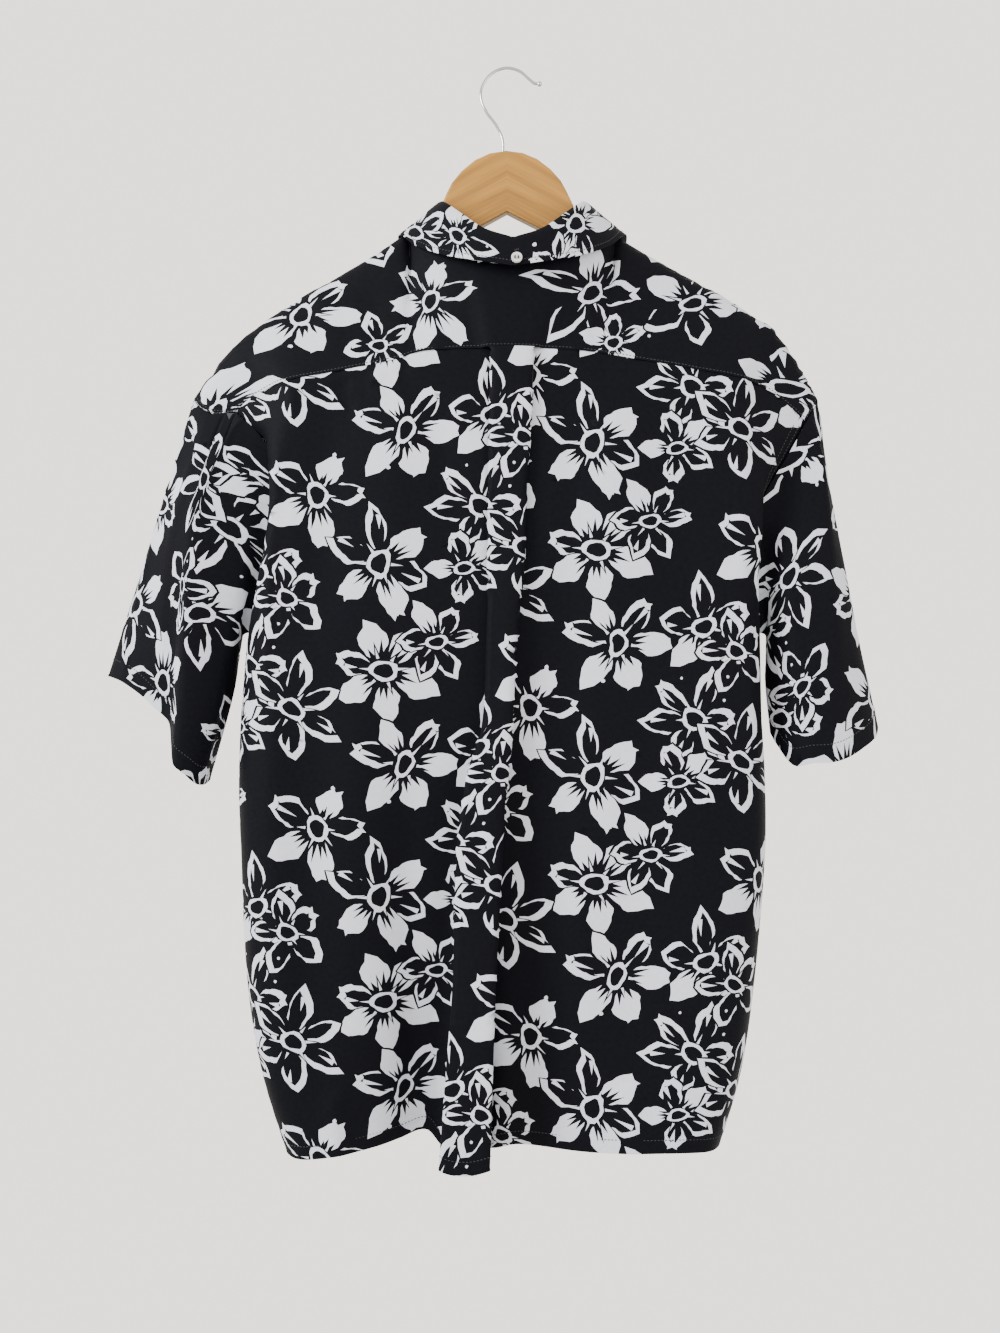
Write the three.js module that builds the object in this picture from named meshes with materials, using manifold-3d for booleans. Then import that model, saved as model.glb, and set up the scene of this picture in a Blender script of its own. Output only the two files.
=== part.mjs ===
// A short-sleeved shirt on a wooden hanger with a wire hook.
// Millimetres, +Z up. The front of the shirt faces -Y and its back faces +Y. +X is the wearer's left.
// The origin is the underside of the hook's crown, where it rests on what holds it.
import * as THREE from 'three';
import { mergeVertices } from 'three/addons/utils/BufferGeometryUtils.js';
import Module from 'manifold-3d';

// Cloth and sewing
const CLOTH = 1.0; // wall of one layer
const SEAM_GAP = 0.3; // between sewn pieces
const LAYER_GAP = 1.0; // between the layers of the pleat
const LAP_GAP = 0.35; // between pieces that lie on each other
const SLEEVE_START = 1.8; // more than that where the sleeve leaves the armhole's fold at an angle

// Hanger and hook
const WOOD_THICK = 12;
const WOOD_TILT = THREE.MathUtils.degToRad(1);
const WOOD_UNDERSIDE = { apexZ: -129.6, slope: Math.tan(THREE.MathUtils.degToRad(27.8)) };
const EASED_EDGE = 2.2;
const TIP_ROUND = 4;
const WIRE = 2.8;
const BALL_RADIUS = 2.4;
const BORE = { x: 3.4, clear: 0.3, length: 40, bottomZ: -97 };

// Buttons
const BUTTON = { radius: 5.6, thick: 2.2, holeRadius: 0.8, holeOffset: 1.5 };
const BACK_BUTTON_SCALE = 0.84;
const BACK_BUTTON_X = -8;
const BUTTON_SEAT = 0.4;
const BACK_BUTTON_SEAT = 2.6;
const FRONT_BUTTONS = { count: 6, firstZ: -262, pitch: 98 };

// Placket and the lap of the fronts
const PLACKET_WIDTH = 30;
const FRONT_CENTRE = -3;

// Height levels of the garment
const YOKE_SEAM = [
  // x at the back, z of the seam between yoke and back panel
  { x: -270, z: -321 },
  { x: -230, z: -292 },
  { x: -158, z: -276 },
  { x: -134, z: -272 },
  { x: -58, z: -261 },
  { x: 70, z: -261 },
  { x: 99, z: -269 },
  { x: 144, z: -278 },
  { x: 217, z: -293 },
  { x: 245, z: -312 },
];
const BACK_HEM = [
  { x: -196, z: -963 },
  { x: -155, z: -961 },
  { x: -83, z: -962 },
  { x: -9, z: -961 },
  { x: 14, z: -966 },
  { x: 35, z: -970 },
  { x: 58, z: -966 },
  { x: 72, z: -952 },
  { x: 95, z: -957 },
  { x: 155, z: -966 },
  { x: 187, z: -970 },
  { x: 200, z: -968 },
];
const UNDERARM_Z = -505;

// The hanger's wood over its middle, and the wire's route: up out of the wood, round the crown and
// down to its ball. Each is x and z.
const WOOD_ARCH = [
  { x: 0, z: -74.6 },
  { x: 15, z: -76.8 },
  { x: 28, z: -82.5 },
  { x: 40, z: -92 },
  { x: 49, z: -102.5 },
  { x: 54, z: -112 },
];
const HOOK_ROUTE = [
  { x: 3.4, z: -96 },
  { x: 3.4, z: -86 },
  { x: 3.5, z: -74 },
  { x: 3.9, z: -63 },
  { x: 9.5, z: -50.5 },
  { x: 18, z: -39 },
  { x: 23, z: -27.5 },
  { x: 22.8, z: -17 },
  { x: 16.5, z: -6.2 },
  { x: 8, z: -0.4 },
  { x: -1, z: 1.4 },
  { x: -11.5, z: -1.6 },
  { x: -19.4, z: -8.2 },
  { x: -24.6, z: -12.3 },
  { x: -29.4, z: -13 },
];

// Horizontal sections of the body, as distances out from x = 0 and back from y = 0.
// end is the armhole seam down to the underarm and the side seam below it, fold is the turned edge
// that the back makes in front of the sleeve, flank is the flat of the back, hollow is the cloth
// that falls away beside the pleat, and pleat is the pleat's own edge.
const LEFT = [
  { z: -240, endX: 262, endY: 8, foldX: 208, foldY: 20, flankY: 29, hollowY: 34, pleatX: 15.5 },
  { z: -300, endX: 248, endY: 11, foldX: 210, foldY: 23, flankY: 34, hollowY: 36, pleatX: 16 },
  { z: -345, endX: 208, endY: 14, foldX: 210, foldY: 30, flankY: 38, hollowY: 38, pleatX: 16.5 },
  { z: -400, endX: 203, endY: 13, foldX: 207, foldY: 34, flankY: 40, hollowY: 40, pleatX: 17.5 },
  { z: -460, endX: 213, endY: 7, foldX: 218, foldY: 30, flankY: 41, hollowY: 39, pleatX: 18.5 },
  { z: -505, endX: 226, endY: 1, foldX: 228, foldY: 20, flankY: 42, hollowY: 38, pleatX: 19.5 },
  { z: -580, endX: 235, endY: 0, foldX: 235, foldY: 18, flankY: 42, hollowY: 36, pleatX: 22 },
  { z: -640, endX: 238, endY: 0, foldX: 237, foldY: 18, flankY: 42, hollowY: 32, pleatX: 37 },
  { z: -700, endX: 237.5, endY: 0, foldX: 235, foldY: 18, flankY: 41, hollowY: 27, pleatX: 44.5 },
  { z: -820, endX: 232, endY: 0, foldX: 229, foldY: 17, flankY: 39, hollowY: 17, pleatX: 49 },
  { z: -900, endX: 219, endY: 0, foldX: 216, foldY: 16, flankY: 36, hollowY: 10, pleatX: 54 },
  { z: -975, endX: 196, endY: 0, foldX: 193, foldY: 15, flankY: 33, hollowY: 4, pleatX: 59 },
];
const RIGHT = [
  { z: -240, endX: 276, endY: 6, foldX: 216, foldY: 20, flankY: 29, hollowY: 34, pleatX: 25 },
  { z: -300, endX: 272, endY: 8, foldX: 222, foldY: 23, flankY: 34, hollowY: 36, pleatX: 23 },
  { z: -345, endX: 250, endY: 12, foldX: 223, foldY: 29, flankY: 38, hollowY: 38, pleatX: 20 },
  { z: -370, endX: 235, endY: 13, foldX: 222, foldY: 32, flankY: 39, hollowY: 39, pleatX: 18.5 },
  { z: -400, endX: 221, endY: 14, foldX: 223, foldY: 34, flankY: 40, hollowY: 40, pleatX: 17 },
  { z: -460, endX: 216, endY: 8, foldX: 220, foldY: 31, flankY: 41, hollowY: 39, pleatX: 13.5 },
  { z: -505, endX: 221, endY: 1, foldX: 223, foldY: 20, flankY: 41, hollowY: 37, pleatX: 10 },
  { z: -580, endX: 225, endY: 0, foldX: 225, foldY: 18, flankY: 41, hollowY: 35, pleatX: 6 },
  { z: -640, endX: 229.5, endY: 0, foldX: 228, foldY: 18, flankY: 41, hollowY: 32, pleatX: 0 },
  { z: -700, endX: 230.5, endY: 0, foldX: 228, foldY: 18, flankY: 41, hollowY: 29, pleatX: -4 },
  { z: -820, endX: 221, endY: 0, foldX: 218, foldY: 17, flankY: 40, hollowY: 24, pleatX: -10 },
  { z: -900, endX: 209, endY: 0, foldX: 206, foldY: 16, flankY: 39, hollowY: 19, pleatX: -13 },
  { z: -975, endX: 187, endY: 0, foldX: 184, foldY: 15, flankY: 37, hollowY: 13, pleatX: -15 },
];
// The pleat: how far its face stands back from y = 0, how far its hidden fold reaches under it, and
// where that hidden fold lies.
const PLEAT = [
  { z: -240, faceY: 39, tuck: 12, innerY: 34 },
  { z: -300, faceY: 42, tuck: 12, innerY: 36.5 },
  { z: -400, faceY: 46, tuck: 11, innerY: 40 },
  { z: -505, faceY: 48, tuck: 10, innerY: 39 },
  { z: -600, faceY: 49.5, tuck: 8, innerY: 36 },
  { z: -700, faceY: 53, tuck: 6, innerY: 30 },
  { z: -820, faceY: 57, tuck: 4, innerY: 22 },
  { z: -900, faceY: 60, tuck: 3, innerY: 15 },
  { z: -975, faceY: 62, tuck: 3, innerY: 8 },
];
// The front of the body, as distances forward from y = 0
const FRONT = [
  { z: -180, flankY: 30, centreY: 38 },
  { z: -260, flankY: 38, centreY: 46 },
  { z: -400, flankY: 44, centreY: 50 },
  { z: -560, flankY: 45, centreY: 50 },
  { z: -760, flankY: 42, centreY: 47 },
  { z: -975, flankY: 36, centreY: 44 },
];
// How far below its top a front has settled into its section, also beside the neck at that x
const FRONT_SETTLE = { down: 75, byNeck: 30, neckX: 104 };
const FRONT_HEM_Z = -962;
const FRONT_WAVE = { height: 5, across: 92 };

// The top line of the shoulders, resting on the hanger's arms and then falling to the sleeve
const LEFT_RIDGE = [
  { x: 92, z: -150.2 },
  { x: 119, z: -168.5 },
  { x: 159, z: -192.2 },
  { x: 186, z: -207.6 },
  { x: 222, z: -230.6 },
  { x: 240, z: -243.5 },
  { x: 257, z: -260 },
  { x: 271, z: -281 },
  { x: 281, z: -296 },
];
const RIGHT_RIDGE = [
  { x: 96, z: -150.2 },
  { x: 119, z: -164.3 },
  { x: 159, z: -186.7 },
  { x: 186, z: -201.2 },
  { x: 222, z: -222.8 },
  { x: 240, z: -234.5 },
  { x: 257, z: -255 },
  { x: 270, z: -279 },
  { x: 279, z: -297 },
];
const ARM_TOP = [
  { x: 62, z: -129.5 },
  { x: 80, z: -153 },
  { x: 96, z: -165 },
  { x: 119, z: -176.5 },
  { x: 159, z: -194.5 },
  { x: 186, z: -208.5 },
  { x: 221, z: -230.5 },
];
// The shoulder seam in front of the top line, and the least share of that at the neck
const FRONT_SEAM = { drop: 26, forward: 14, least: 0.1 };
const OVER_ARM = { out: 8.8, drop: 3.2 }; // how the cloth rounds the hanger's arm
const NECK_CLEAR = 1.6; // from the neckline to the stand's lower edge

// The armhole from the yoke's corner over the shoulder point, behind and in front of the ridge
const LEFT_CAP = [
  { x: 241, z: -310, y: 12 },
  { x: 262, z: -311, y: 9 },
  { x: 274, z: -306, y: 6 },
  { x: 281, z: -296, y: 0 },
  { x: 264, z: -309, y: -8 },
  { x: 241, z: -310, y: -12 },
];
const RIGHT_CAP = [
  { x: 266, z: -318, y: 10 },
  { x: 270, z: -312, y: 8 },
  { x: 275, z: -306, y: 5 },
  { x: 279, z: -297, y: 0 },
  { x: 272, z: -308, y: -7 },
  { x: 266, z: -318, y: -10 },
];

// Collar: stations from the centre back round one side to the centre front.
// neck is the neckline, fold the top edge, edge the leaf's free edge, each as x, y, z out from the
// collar's own middle line.
const COLLAR_MIDDLE = -5;
const COLLAR = [
  { neck: [0, 40, -189], fold: [0, 46, -168.5], edge: [0, 52, -195.5] },
  { neck: [36, 37.5, -184], fold: [25, 41, -159], edge: [30, 49, -190] },
  { neck: [67, 29, -172], fold: [45, 29, -142], edge: [58, 40, -182.5] },
  { neck: [87, 15, -157], fold: [60, 15, -127], edge: [84, 25, -169] },
  { neck: [92.5, 0, -146], fold: [65, 0, -122], edge: [99.5, 4, -151.5] },
  { neck: [89, -15, -157], fold: [62, -15, -128], edge: [101, -17, -160] },
  { neck: [73, -33, -184], fold: [50, -31, -145], edge: [96, -39, -187] },
  { neck: [44, -44.5, -211], fold: [31, -43, -167], edge: [68, -56, -228] },
  { neck: [13, -49, -225], fold: [9, -48, -186], edge: [22, -58, -216] },
];
const LEAF_LIFT = 1.9; // from the stand's fold edge out to the leaf
const LEAF_RISE = 1.6; // and up
const SIDE_STATION = 4; // the side of the neck
const FRONT_STATION = 8; // the collar's front end

// Sleeve lines run from the armhole to the hem. around is the place round the tube, from the outer
// edge over the back to the underarm and back over the front. out, drop and back are x, -z and y.
const LEFT_SLEEVE = [
  { seam: [281, 296, 0], mid: [317, 410, -4], hem: [363, 546, -12] },
  { seam: [274, 306, 6], mid: [304, 410, 13], hem: [341, 553, 3] },
  { seam: [262, 311, 9], mid: [290, 412, 23], hem: [316, 573, 9] },
  { seam: [251, 311, 11], mid: [281, 416, 28], hem: [300, 588, 14] },
  { seam: [241, 310, 12], mid: [273, 422, 29], hem: [291, 622, 36] },
  { seam: [224, 324, 13], mid: [258, 432, 26], hem: [281, 632, 34] },
  { seam: [208, 345, 14], mid: [244, 450, 22], hem: [274, 640, 27] },
  { seam: [203, 400, 13], mid: [236, 480, 17], hem: [270, 642, 18] },
  { seam: [213, 460, 7], mid: [242, 520, 9], hem: [268, 641, 9] },
  { seam: [226, 505, 0], mid: [245, 556, 0], hem: [267, 637, 0] },
  { seam: [213, 460, -7], mid: [245, 520, -11], hem: [277, 626, -10] },
  { seam: [203, 400, -13], mid: [248, 480, -22], hem: [298, 602, -24] },
  { seam: [208, 345, -14], mid: [264, 440, -27], hem: [326, 575, -33] },
  { seam: [241, 310, -12], mid: [289, 420, -23], hem: [347, 557, -29] },
  { seam: [264, 309, -8], mid: [307, 411, -15], hem: [359, 548, -21] },
];
const RIGHT_SLEEVE = [
  { seam: [279, 297, 0], mid: [301, 430, 0], hem: [334, 590, -2] },
  { seam: [275, 306, 5], mid: [297, 431, 11], hem: [329, 600, 9] },
  { seam: [266, 318, 10], mid: [286, 434, 21], hem: [315, 609, 20] },
  { seam: [250, 345, 12], mid: [269, 445, 28], hem: [299, 617, 29] },
  { seam: [235, 370, 13], mid: [257, 460, 30], hem: [284, 621, 33] },
  { seam: [221, 400, 14], mid: [246, 478, 28], hem: [268, 622, 31] },
  { seam: [216, 430, 11], mid: [240, 500, 20], hem: [254, 625, 22] },
  { seam: [216, 460, 8], mid: [236, 525, 11], hem: [244, 612, 11] },
  { seam: [221, 505, 0], mid: [232.5, 548, 0], hem: [237, 596, 0] },
  { seam: [216, 460, -8], mid: [240, 520, -13], hem: [250, 604, -12] },
  { seam: [216, 430, -11], mid: [250, 485, -23], hem: [276, 607, -25] },
  { seam: [221, 400, -14], mid: [266, 455, -29], hem: [301, 605, -31] },
  { seam: [250, 345, -12], mid: [284, 440, -25], hem: [320, 599, -26] },
  { seam: [266, 318, -10], mid: [296, 431, -14], hem: [331, 593, -15] },
];
const SLEEVE_LEAVE = 13; // how far a sleeve line runs straight out of the armhole's fold

// How finely each piece is divided
const SLEEVE_ROWS = 12;
const FOLD_EASE = 1.7;
const YOKE_ROWS = 11; // 2 for each of a column's 5 stretches, so that a row lies on every bend
const COLLAR_COLUMNS = 36;
const STAND_ROWS = 5;
const LEAF_ROWS = [0, 0.03, 0.11, 0.3, 0.53, 0.77, 1];
const HOOK_STEPS = 42;
// The rows down the body, and the places along a back's and a front's section, all closer where the
// cloth turns
const BODY_ROWS = [0, 0.02, 0.045, 0.075, 0.11, 0.16, 0.22, 0.29, 0.37, 0.46, 0.56, 0.67, 0.78, 0.89, 1];
const SIDE_PLACES = [0, 0.05, 0.1, 0.143, 0.21, 0.285, 0.36, 0.43, 0.5, 0.56, 0.65, 0.76, 0.87, 1];
const FRONT_PLACES = [0, 0.05, 0.1, 0.167, 0.25, 0.333, 0.4, 0.46, 0.53, 0.6, 0.7, 0.8, 0.9, 1];
const NECK_COLUMN = 9; // the column of a side whose top is at the corner of the neck
// Where the rows fall on a column beside the neck's corner, so that they meet a shoulder column's
const NECK_PLACES = [
  { t: 0, f: 0 },
  { t: 0.2, f: 0.5 },
  { t: 0.4, f: 0.88 },
  { t: 0.6, f: 0.95 },
  { t: 1, f: 1 },
];

const vec = (x, y, z) => new THREE.Vector3(x, y, z);
const mix = THREE.MathUtils.lerp;
const step = THREE.MathUtils.smoothstep;

// One column of a table at a value of its key column, through its rows on a smooth curve.
function read(table, key, column, at) {
  const rising = table[1][key] > table[0][key];
  const rows = rising ? table : [...table].reverse();
  const last = rows.length - 1;
  const held = THREE.MathUtils.clamp(at, rows[0][key], rows[last][key]);
  let i = 0;
  while (i < last - 1 && rows[i + 1][key] < held) i += 1;
  const slope = (k) => {
    const a = rows[Math.max(k - 1, 0)];
    const b = rows[Math.min(k + 1, last)];
    return (b[column] - a[column]) / (b[key] - a[key]);
  };
  const span = rows[i + 1][key] - rows[i][key];
  const t = (held - rows[i][key]) / span;
  const rise = t * t * (3 - 2 * t);
  const start = t * (1 - t) * (1 - t) * span * slope(i);
  const end = t * t * (t - 1) * span * slope(i + 1);
  return mix(rows[i][column], rows[i + 1][column], rise) + start + end;
}

// Points along a smooth curve through given points, at given places from 0 to 1.
function along(points, places) {
  const curve = new THREE.CatmullRomCurve3(points, false, 'centripetal');
  return places.map((t) => curve.getPoint(t));
}

const even = (count) => Array.from({ length: count }, (_, i) => i / (count - 1));

// The way out of a grid of points at one of them, from its neighbours in both directions.
function outward(grid, i, j, closed) {
  const rows = grid.length;
  const columns = grid[0].length;
  const left = closed ? (j + columns - 1) % columns : Math.max(j - 1, 0);
  const right = closed ? (j + 1) % columns : Math.min(j + 1, columns - 1);
  const across = grid[i][right].clone().sub(grid[i][left]);
  const down = grid[Math.min(i + 1, rows - 1)][j].clone().sub(grid[Math.max(i - 1, 0)][j]);
  return down.cross(across).normalize();
}

// A closed wall of even thickness about a grid of points. Its outer side is where down x across
// points. closed joins the last column to the first, as on a sleeve.
function wall(grid, thick = CLOTH, closed = false) {
  const rows = grid.length;
  const columns = grid[0].length;
  const side = (sign) =>
    grid.flatMap((row, i) =>
      row.map((p, j) => p.clone().addScaledVector(outward(grid, i, j, closed), (sign * thick) / 2)),
    );
  const points = [...side(1), ...side(-1)];
  const outer = (i, j) => i * columns + (j % columns);
  const inner = (i, j) => rows * columns + outer(i, j);
  const faces = [];
  const quad = (a, b, c, d) => faces.push(a, c, b, a, d, c);
  const spans = closed ? columns : columns - 1;
  for (let i = 0; i < rows - 1; i += 1) {
    for (let j = 0; j < spans; j += 1) {
      quad(outer(i, j), outer(i, j + 1), outer(i + 1, j + 1), outer(i + 1, j));
      quad(inner(i, j), inner(i + 1, j), inner(i + 1, j + 1), inner(i, j + 1));
    }
  }
  for (let j = 0; j < spans; j += 1) {
    quad(outer(0, j), inner(0, j), inner(0, j + 1), outer(0, j + 1));
    quad(outer(rows - 1, j), outer(rows - 1, j + 1), inner(rows - 1, j + 1), inner(rows - 1, j));
  }
  if (!closed) {
    const end = columns - 1;
    for (let i = 0; i < rows - 1; i += 1) {
      quad(outer(i, 0), outer(i + 1, 0), inner(i + 1, 0), inner(i, 0));
      quad(outer(i, end), inner(i, end), inner(i + 1, end), outer(i + 1, end));
    }
  }
  const geometry = new THREE.BufferGeometry();
  const numbers = points.flatMap((p) => p.toArray());
  geometry.setAttribute('position', new THREE.Float32BufferAttribute(numbers, 3));
  geometry.setIndex(faces);
  return geometry;
}

// Moves a point towards another by a distance.
const towards = (p, q, distance) => p.addScaledVector(q.clone().sub(p).normalize(), distance);

// Pulls one edge of a grid in towards its neighbours: its top row, or its start or end column.
function pullIn(grid, edge, distance) {
  if (edge === 'top') grid[0].forEach((p, j) => towards(p, grid[1][j], distance));
  if (edge === 'start') grid.forEach((row) => towards(row[0], row[1], distance));
  if (edge === 'end') grid.forEach((row) => towards(row.at(-1), row.at(-2), distance));
  return grid;
}

// Moves a grid's points out by a distance, for a piece that lies on another.
function lifted(grid, distance) {
  const move = (p, i, j) => p.clone().addScaledVector(outward(grid, i, j, false), distance);
  return grid.map((row, i) => row.map((p, j) => move(p, i, j)));
}

// One side of the back at a height, from the armhole or side seam in to the pleat's hidden fold.
// sign is 1 on the wearer's left and -1 on the right.
function backSide(table, sign, z) {
  const at = (column) => read(table, 'z', column, z);
  const pleat = (column) => read(PLEAT, 'z', column, z);
  const fold = at('foldX');
  const pleatX = at('pleatX');
  const hollowX = pleatX + 30;
  const flankX = mix(hollowX, fold, 0.62);
  return [
    vec(sign * at('endX'), at('endY'), z),
    vec(sign * fold, at('foldY'), z),
    vec(sign * (fold - 13), mix(at('foldY'), at('flankY'), 0.72), z),
    vec(sign * flankX, at('flankY'), z),
    vec(sign * mix(hollowX, flankX, 0.4), mix(at('hollowY'), at('flankY'), 0.62), z),
    vec(sign * hollowX, mix(at('hollowY'), at('flankY'), 0.1), z),
    vec(sign * (pleatX + 5), at('hollowY'), z),
    vec(sign * (pleatX - pleat('tuck')), pleat('innerY'), z),
  ];
}

// The pleat's middle, from its left hidden fold over its face to the right one. Each turn is a
// half circle of three points.
function pleatMiddle(z) {
  const pleat = (column) => read(PLEAT, 'z', column, z);
  const left = read(LEFT, 'z', 'pleatX', z);
  const right = -read(RIGHT, 'z', 'pleatX', z);
  const face = pleat('faceY');
  const inner = pleat('innerY');
  const tuck = pleat('tuck');
  const turn = (CLOTH + LAYER_GAP) / 2;
  const half = (edge, sign) => [
    vec(edge - sign * (tuck + turn), inner + turn, z),
    vec(edge - sign * tuck, inner + 2 * turn, z),
    vec(edge - sign * 2 * turn, mix(inner + 2 * turn, face - 2 * turn, 0.85), z),
    vec(edge, face - turn, z),
    vec(edge - sign * 1.5 * turn, face, z),
  ];
  const crown = [0.33, 0.67].map((t) => vec(mix(left, right, t), face + 1.2, z));
  return [...half(left, 1), ...crown, ...half(right, -1).reverse()];
}

function backSection(z) {
  const left = along(backSide(LEFT, 1, z), SIDE_PLACES);
  const right = along(backSide(RIGHT, -1, z), SIDE_PLACES);
  return [...left, ...pleatMiddle(z), ...right.reverse()];
}

// The height at which a column of the back meets a line given as x and z.
function meet(section, line, column, start) {
  let z = start;
  for (let turn = 0; turn < 4; turn += 1) z = read(line, 'x', 'z', section(z)[column].x);
  return z;
}

const backColumns = backSection(-300).length;
const backTops = Array.from({ length: backColumns }, (_, j) => meet(backSection, YOKE_SEAM, j, -280));
backTops[0] = LEFT_CAP[0].z;
backTops[backColumns - 1] = RIGHT_CAP[0].z;
const backHems = Array.from({ length: backColumns }, (_, j) => meet(backSection, BACK_HEM, j, -962));

function backGrid() {
  const grid = BODY_ROWS.map((t) =>
    backTops.map((top, j) => backSection(mix(top, backHems[j], t))[j]),
  );
  pullIn(grid, 'top', SEAM_GAP);
  pullIn(grid, 'start', SEAM_GAP);
  return pullIn(grid, 'end', SEAM_GAP);
}

// A side of the body as x, y, z records: the cap that the armhole follows, the table and the sign.
const SIDES = {
  left: { sign: 1, table: LEFT, cap: LEFT_CAP, ridge: LEFT_RIDGE },
  right: { sign: -1, table: RIGHT, cap: RIGHT_CAP, ridge: RIGHT_RIDGE },
};

const COLLAR_LINES = {};
for (const part of ['neck', 'fold', 'edge']) {
  const toRow = ({ [part]: [x, y, z] }, station) => ({ station, x, y, z });
  COLLAR_LINES[part] = COLLAR.map(toRow);
}

// A place on the collar's neckline, fold or edge, which part names, on one side.
function collarPoint(sign, station, part) {
  const at = (axis) => read(COLLAR_LINES[part], 'station', axis, station);
  return vec(COLLAR_MIDDLE + sign * at('x'), at('y'), at('z'));
}

// The front shoulder seam, from the neck's side at 0 to the armhole at 1. It starts just over the
// ridge and falls in front of it.
function frontSeam({ sign, ridge, cap }, c) {
  const neck = collarPoint(sign, SIDE_STATION, 'neck');
  const end = cap[5];
  const fallen = Math.max(FRONT_SEAM.least, step(c, 0, 0.3));
  const out = mix(sign * neck.x + NECK_CLEAR, end.x, c);
  const z = read(ridge, 'x', 'z', out) - FRONT_SEAM.drop * fallen;
  const close = step(c, 0.7, 1);
  return vec(sign * out, mix(-FRONT_SEAM.forward * fallen, end.y, close), mix(z, end.z, close));
}

// The back panel's top on one side, from the armhole in to the pleat.
function seamLine({ sign }) {
  const line = backTops.map((top, j) => backSection(top)[j]);
  return (sign > 0 ? line : line.reverse()).slice(0, SIDE_PLACES.length);
}

// Each of those points' place on the shoulder, 1 at the armhole and 0 at the neck's corner, or
// below 0 behind the neck, down to -1 at the middle.
function shoulderPlaces(side) {
  const line = seamLine(side);
  const corner = line[NECK_COLUMN].x;
  const reach = (j) => (j <= NECK_COLUMN ? line[0].x - corner : corner - COLLAR_MIDDLE);
  return line.map(({ x }, j) => (x - corner) / reach(j));
}

// A column of the yoke over the shoulder, from the back seam over the ridge to the front seam.
function shoulderColumn(side, a, c) {
  const { sign, ridge, cap } = side;
  const corner = collarPoint(sign, SIDE_STATION, 'neck');
  const ridgeOut = mix(sign * corner.x + NECK_CLEAR, cap[3].x, c);
  const top = vec(sign * ridgeOut, 0, read(ridge, 'x', 'z', ridgeOut));
  const f = frontSeam(side, c);
  const { out, drop } = OVER_ARM;
  const behind = vec(mix(top.x, a.x, 0.06), out, top.z - drop);
  const middle = vec(mix(top.x, a.x, 0.5), mix(out, a.y, 0.62), mix(top.z - drop, a.z, 0.5));
  const fallen = step(c, 0, 0.3);
  const forward = Math.max(Math.min(1, 0.5 * (f.y / -out)), fallen);
  const ahead = vec(mix(top.x, f.x, 0.3), -out * forward, top.z - drop * fallen);
  const free = [a, middle, behind, top, ahead, f];
  const close = step(c, 0.75, 1);
  return free.map((p, k) => p.lerp(vec(sign * cap[k].x, cap[k].y, cap[k].z), close));
}

// A column of the yoke behind the neck. n runs from the side of the neck at 0 to its back at 1.
function neckColumn({ sign }, a, n) {
  const end = collarPoint(sign, SIDE_STATION * (1 - n), 'neck');
  const middle = vec(mix(a.x, end.x, 0.5), mix(a.y, end.y, 0.5) + 1.5, mix(a.z, end.z, 0.5));
  return [a, middle, end];
}

function yokeGrid() {
  const places = even(YOKE_ROWS);
  const half = (side) => {
    const line = seamLine(side);
    const shares = shoulderPlaces(side);
    return line.map((a, j) => {
      if (j <= NECK_COLUMN) return along(shoulderColumn(side, a, shares[j]), places);
      const n = -shares[j];
      const spread = places.map((t) => mix(read(NECK_PLACES, 't', 'f', t), t, step(n, 0, 0.7)));
      return along(neckColumn(side, a, n), spread);
    });
  };
  const middleSeam = seamLine(SIDES.left).at(-1).clone().setX(COLLAR_MIDDLE);
  const middle = along(neckColumn(SIDES.left, middleSeam, 1), places);
  const columns = [...half(SIDES.left), middle, ...half(SIDES.right).reverse()];
  // Rows run from the top down, so that across x down points out of the cloth.
  const grid = places.map((_, i) => columns.map((line) => line[YOKE_ROWS - 1 - i].clone()));
  // The seam opens a little over the fold near the armhole, where the cloth turns sharply.
  const under = grid.at(-1);
  const corner = (p) => SEAM_GAP + FOLD_EASE * step(Math.abs(p.x), 190, 215);
  under.forEach((p, j) => towards(p, grid.at(-2)[j], corner(p)));
  pullIn(grid, 'top', SEAM_GAP);
  const inNeck = grid[0].map((_, j) => j >= NECK_COLUMN && j < grid[0].length - NECK_COLUMN);
  grid[0].forEach((p, j) => inNeck[j] && towards(p, grid[1][j], NECK_CLEAR));
  pullIn(grid, 'start', 2 * SEAM_GAP);
  return pullIn(grid, 'end', 2 * SEAM_GAP);
}

// One front at a height, from the armhole or side seam in to its free edge at the middle.
function frontSection({ sign, table }, z) {
  const at = (column) => read(table, 'z', column, z);
  const front = (column) => -read(FRONT, 'z', column, z);
  const fold = at('foldX');
  const wave = FRONT_WAVE.height * step(-z, 350, 800);
  const lapX = FRONT_CENTRE + PLACKET_WIDTH / 2;
  const edge = sign > 0 ? lapX : -lapX + PLACKET_WIDTH;
  const under = sign > 0 ? 0 : CLOTH + LAP_GAP * 2;
  const centre = front('centreY');
  const points = [
    vec(sign * at('endX'), -at('endY'), z),
    vec(sign * fold, -at('foldY'), z),
    vec(sign * (fold - 13), mix(-at('foldY'), front('flankY'), 0.72), z),
    vec(sign * (fold - 60), front('flankY') + wave, z),
    vec(sign * FRONT_WAVE.across, mix(front('flankY'), centre, 0.6) - wave, z),
    vec(sign * 50, centre + wave * 0.8, z),
    vec(sign > 0 ? edge : -24, centre + (sign > 0 ? 0 : under), z),
  ];
  const sampled = along(points, FRONT_PLACES);
  const laps = sign > 0 ? [FRONT_CENTRE, FRONT_CENTRE - PLACKET_WIDTH / 2] : [FRONT_CENTRE - 5, lapX];
  return [...sampled, ...laps.map((x) => vec(x, centre + under, z))];
}

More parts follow.
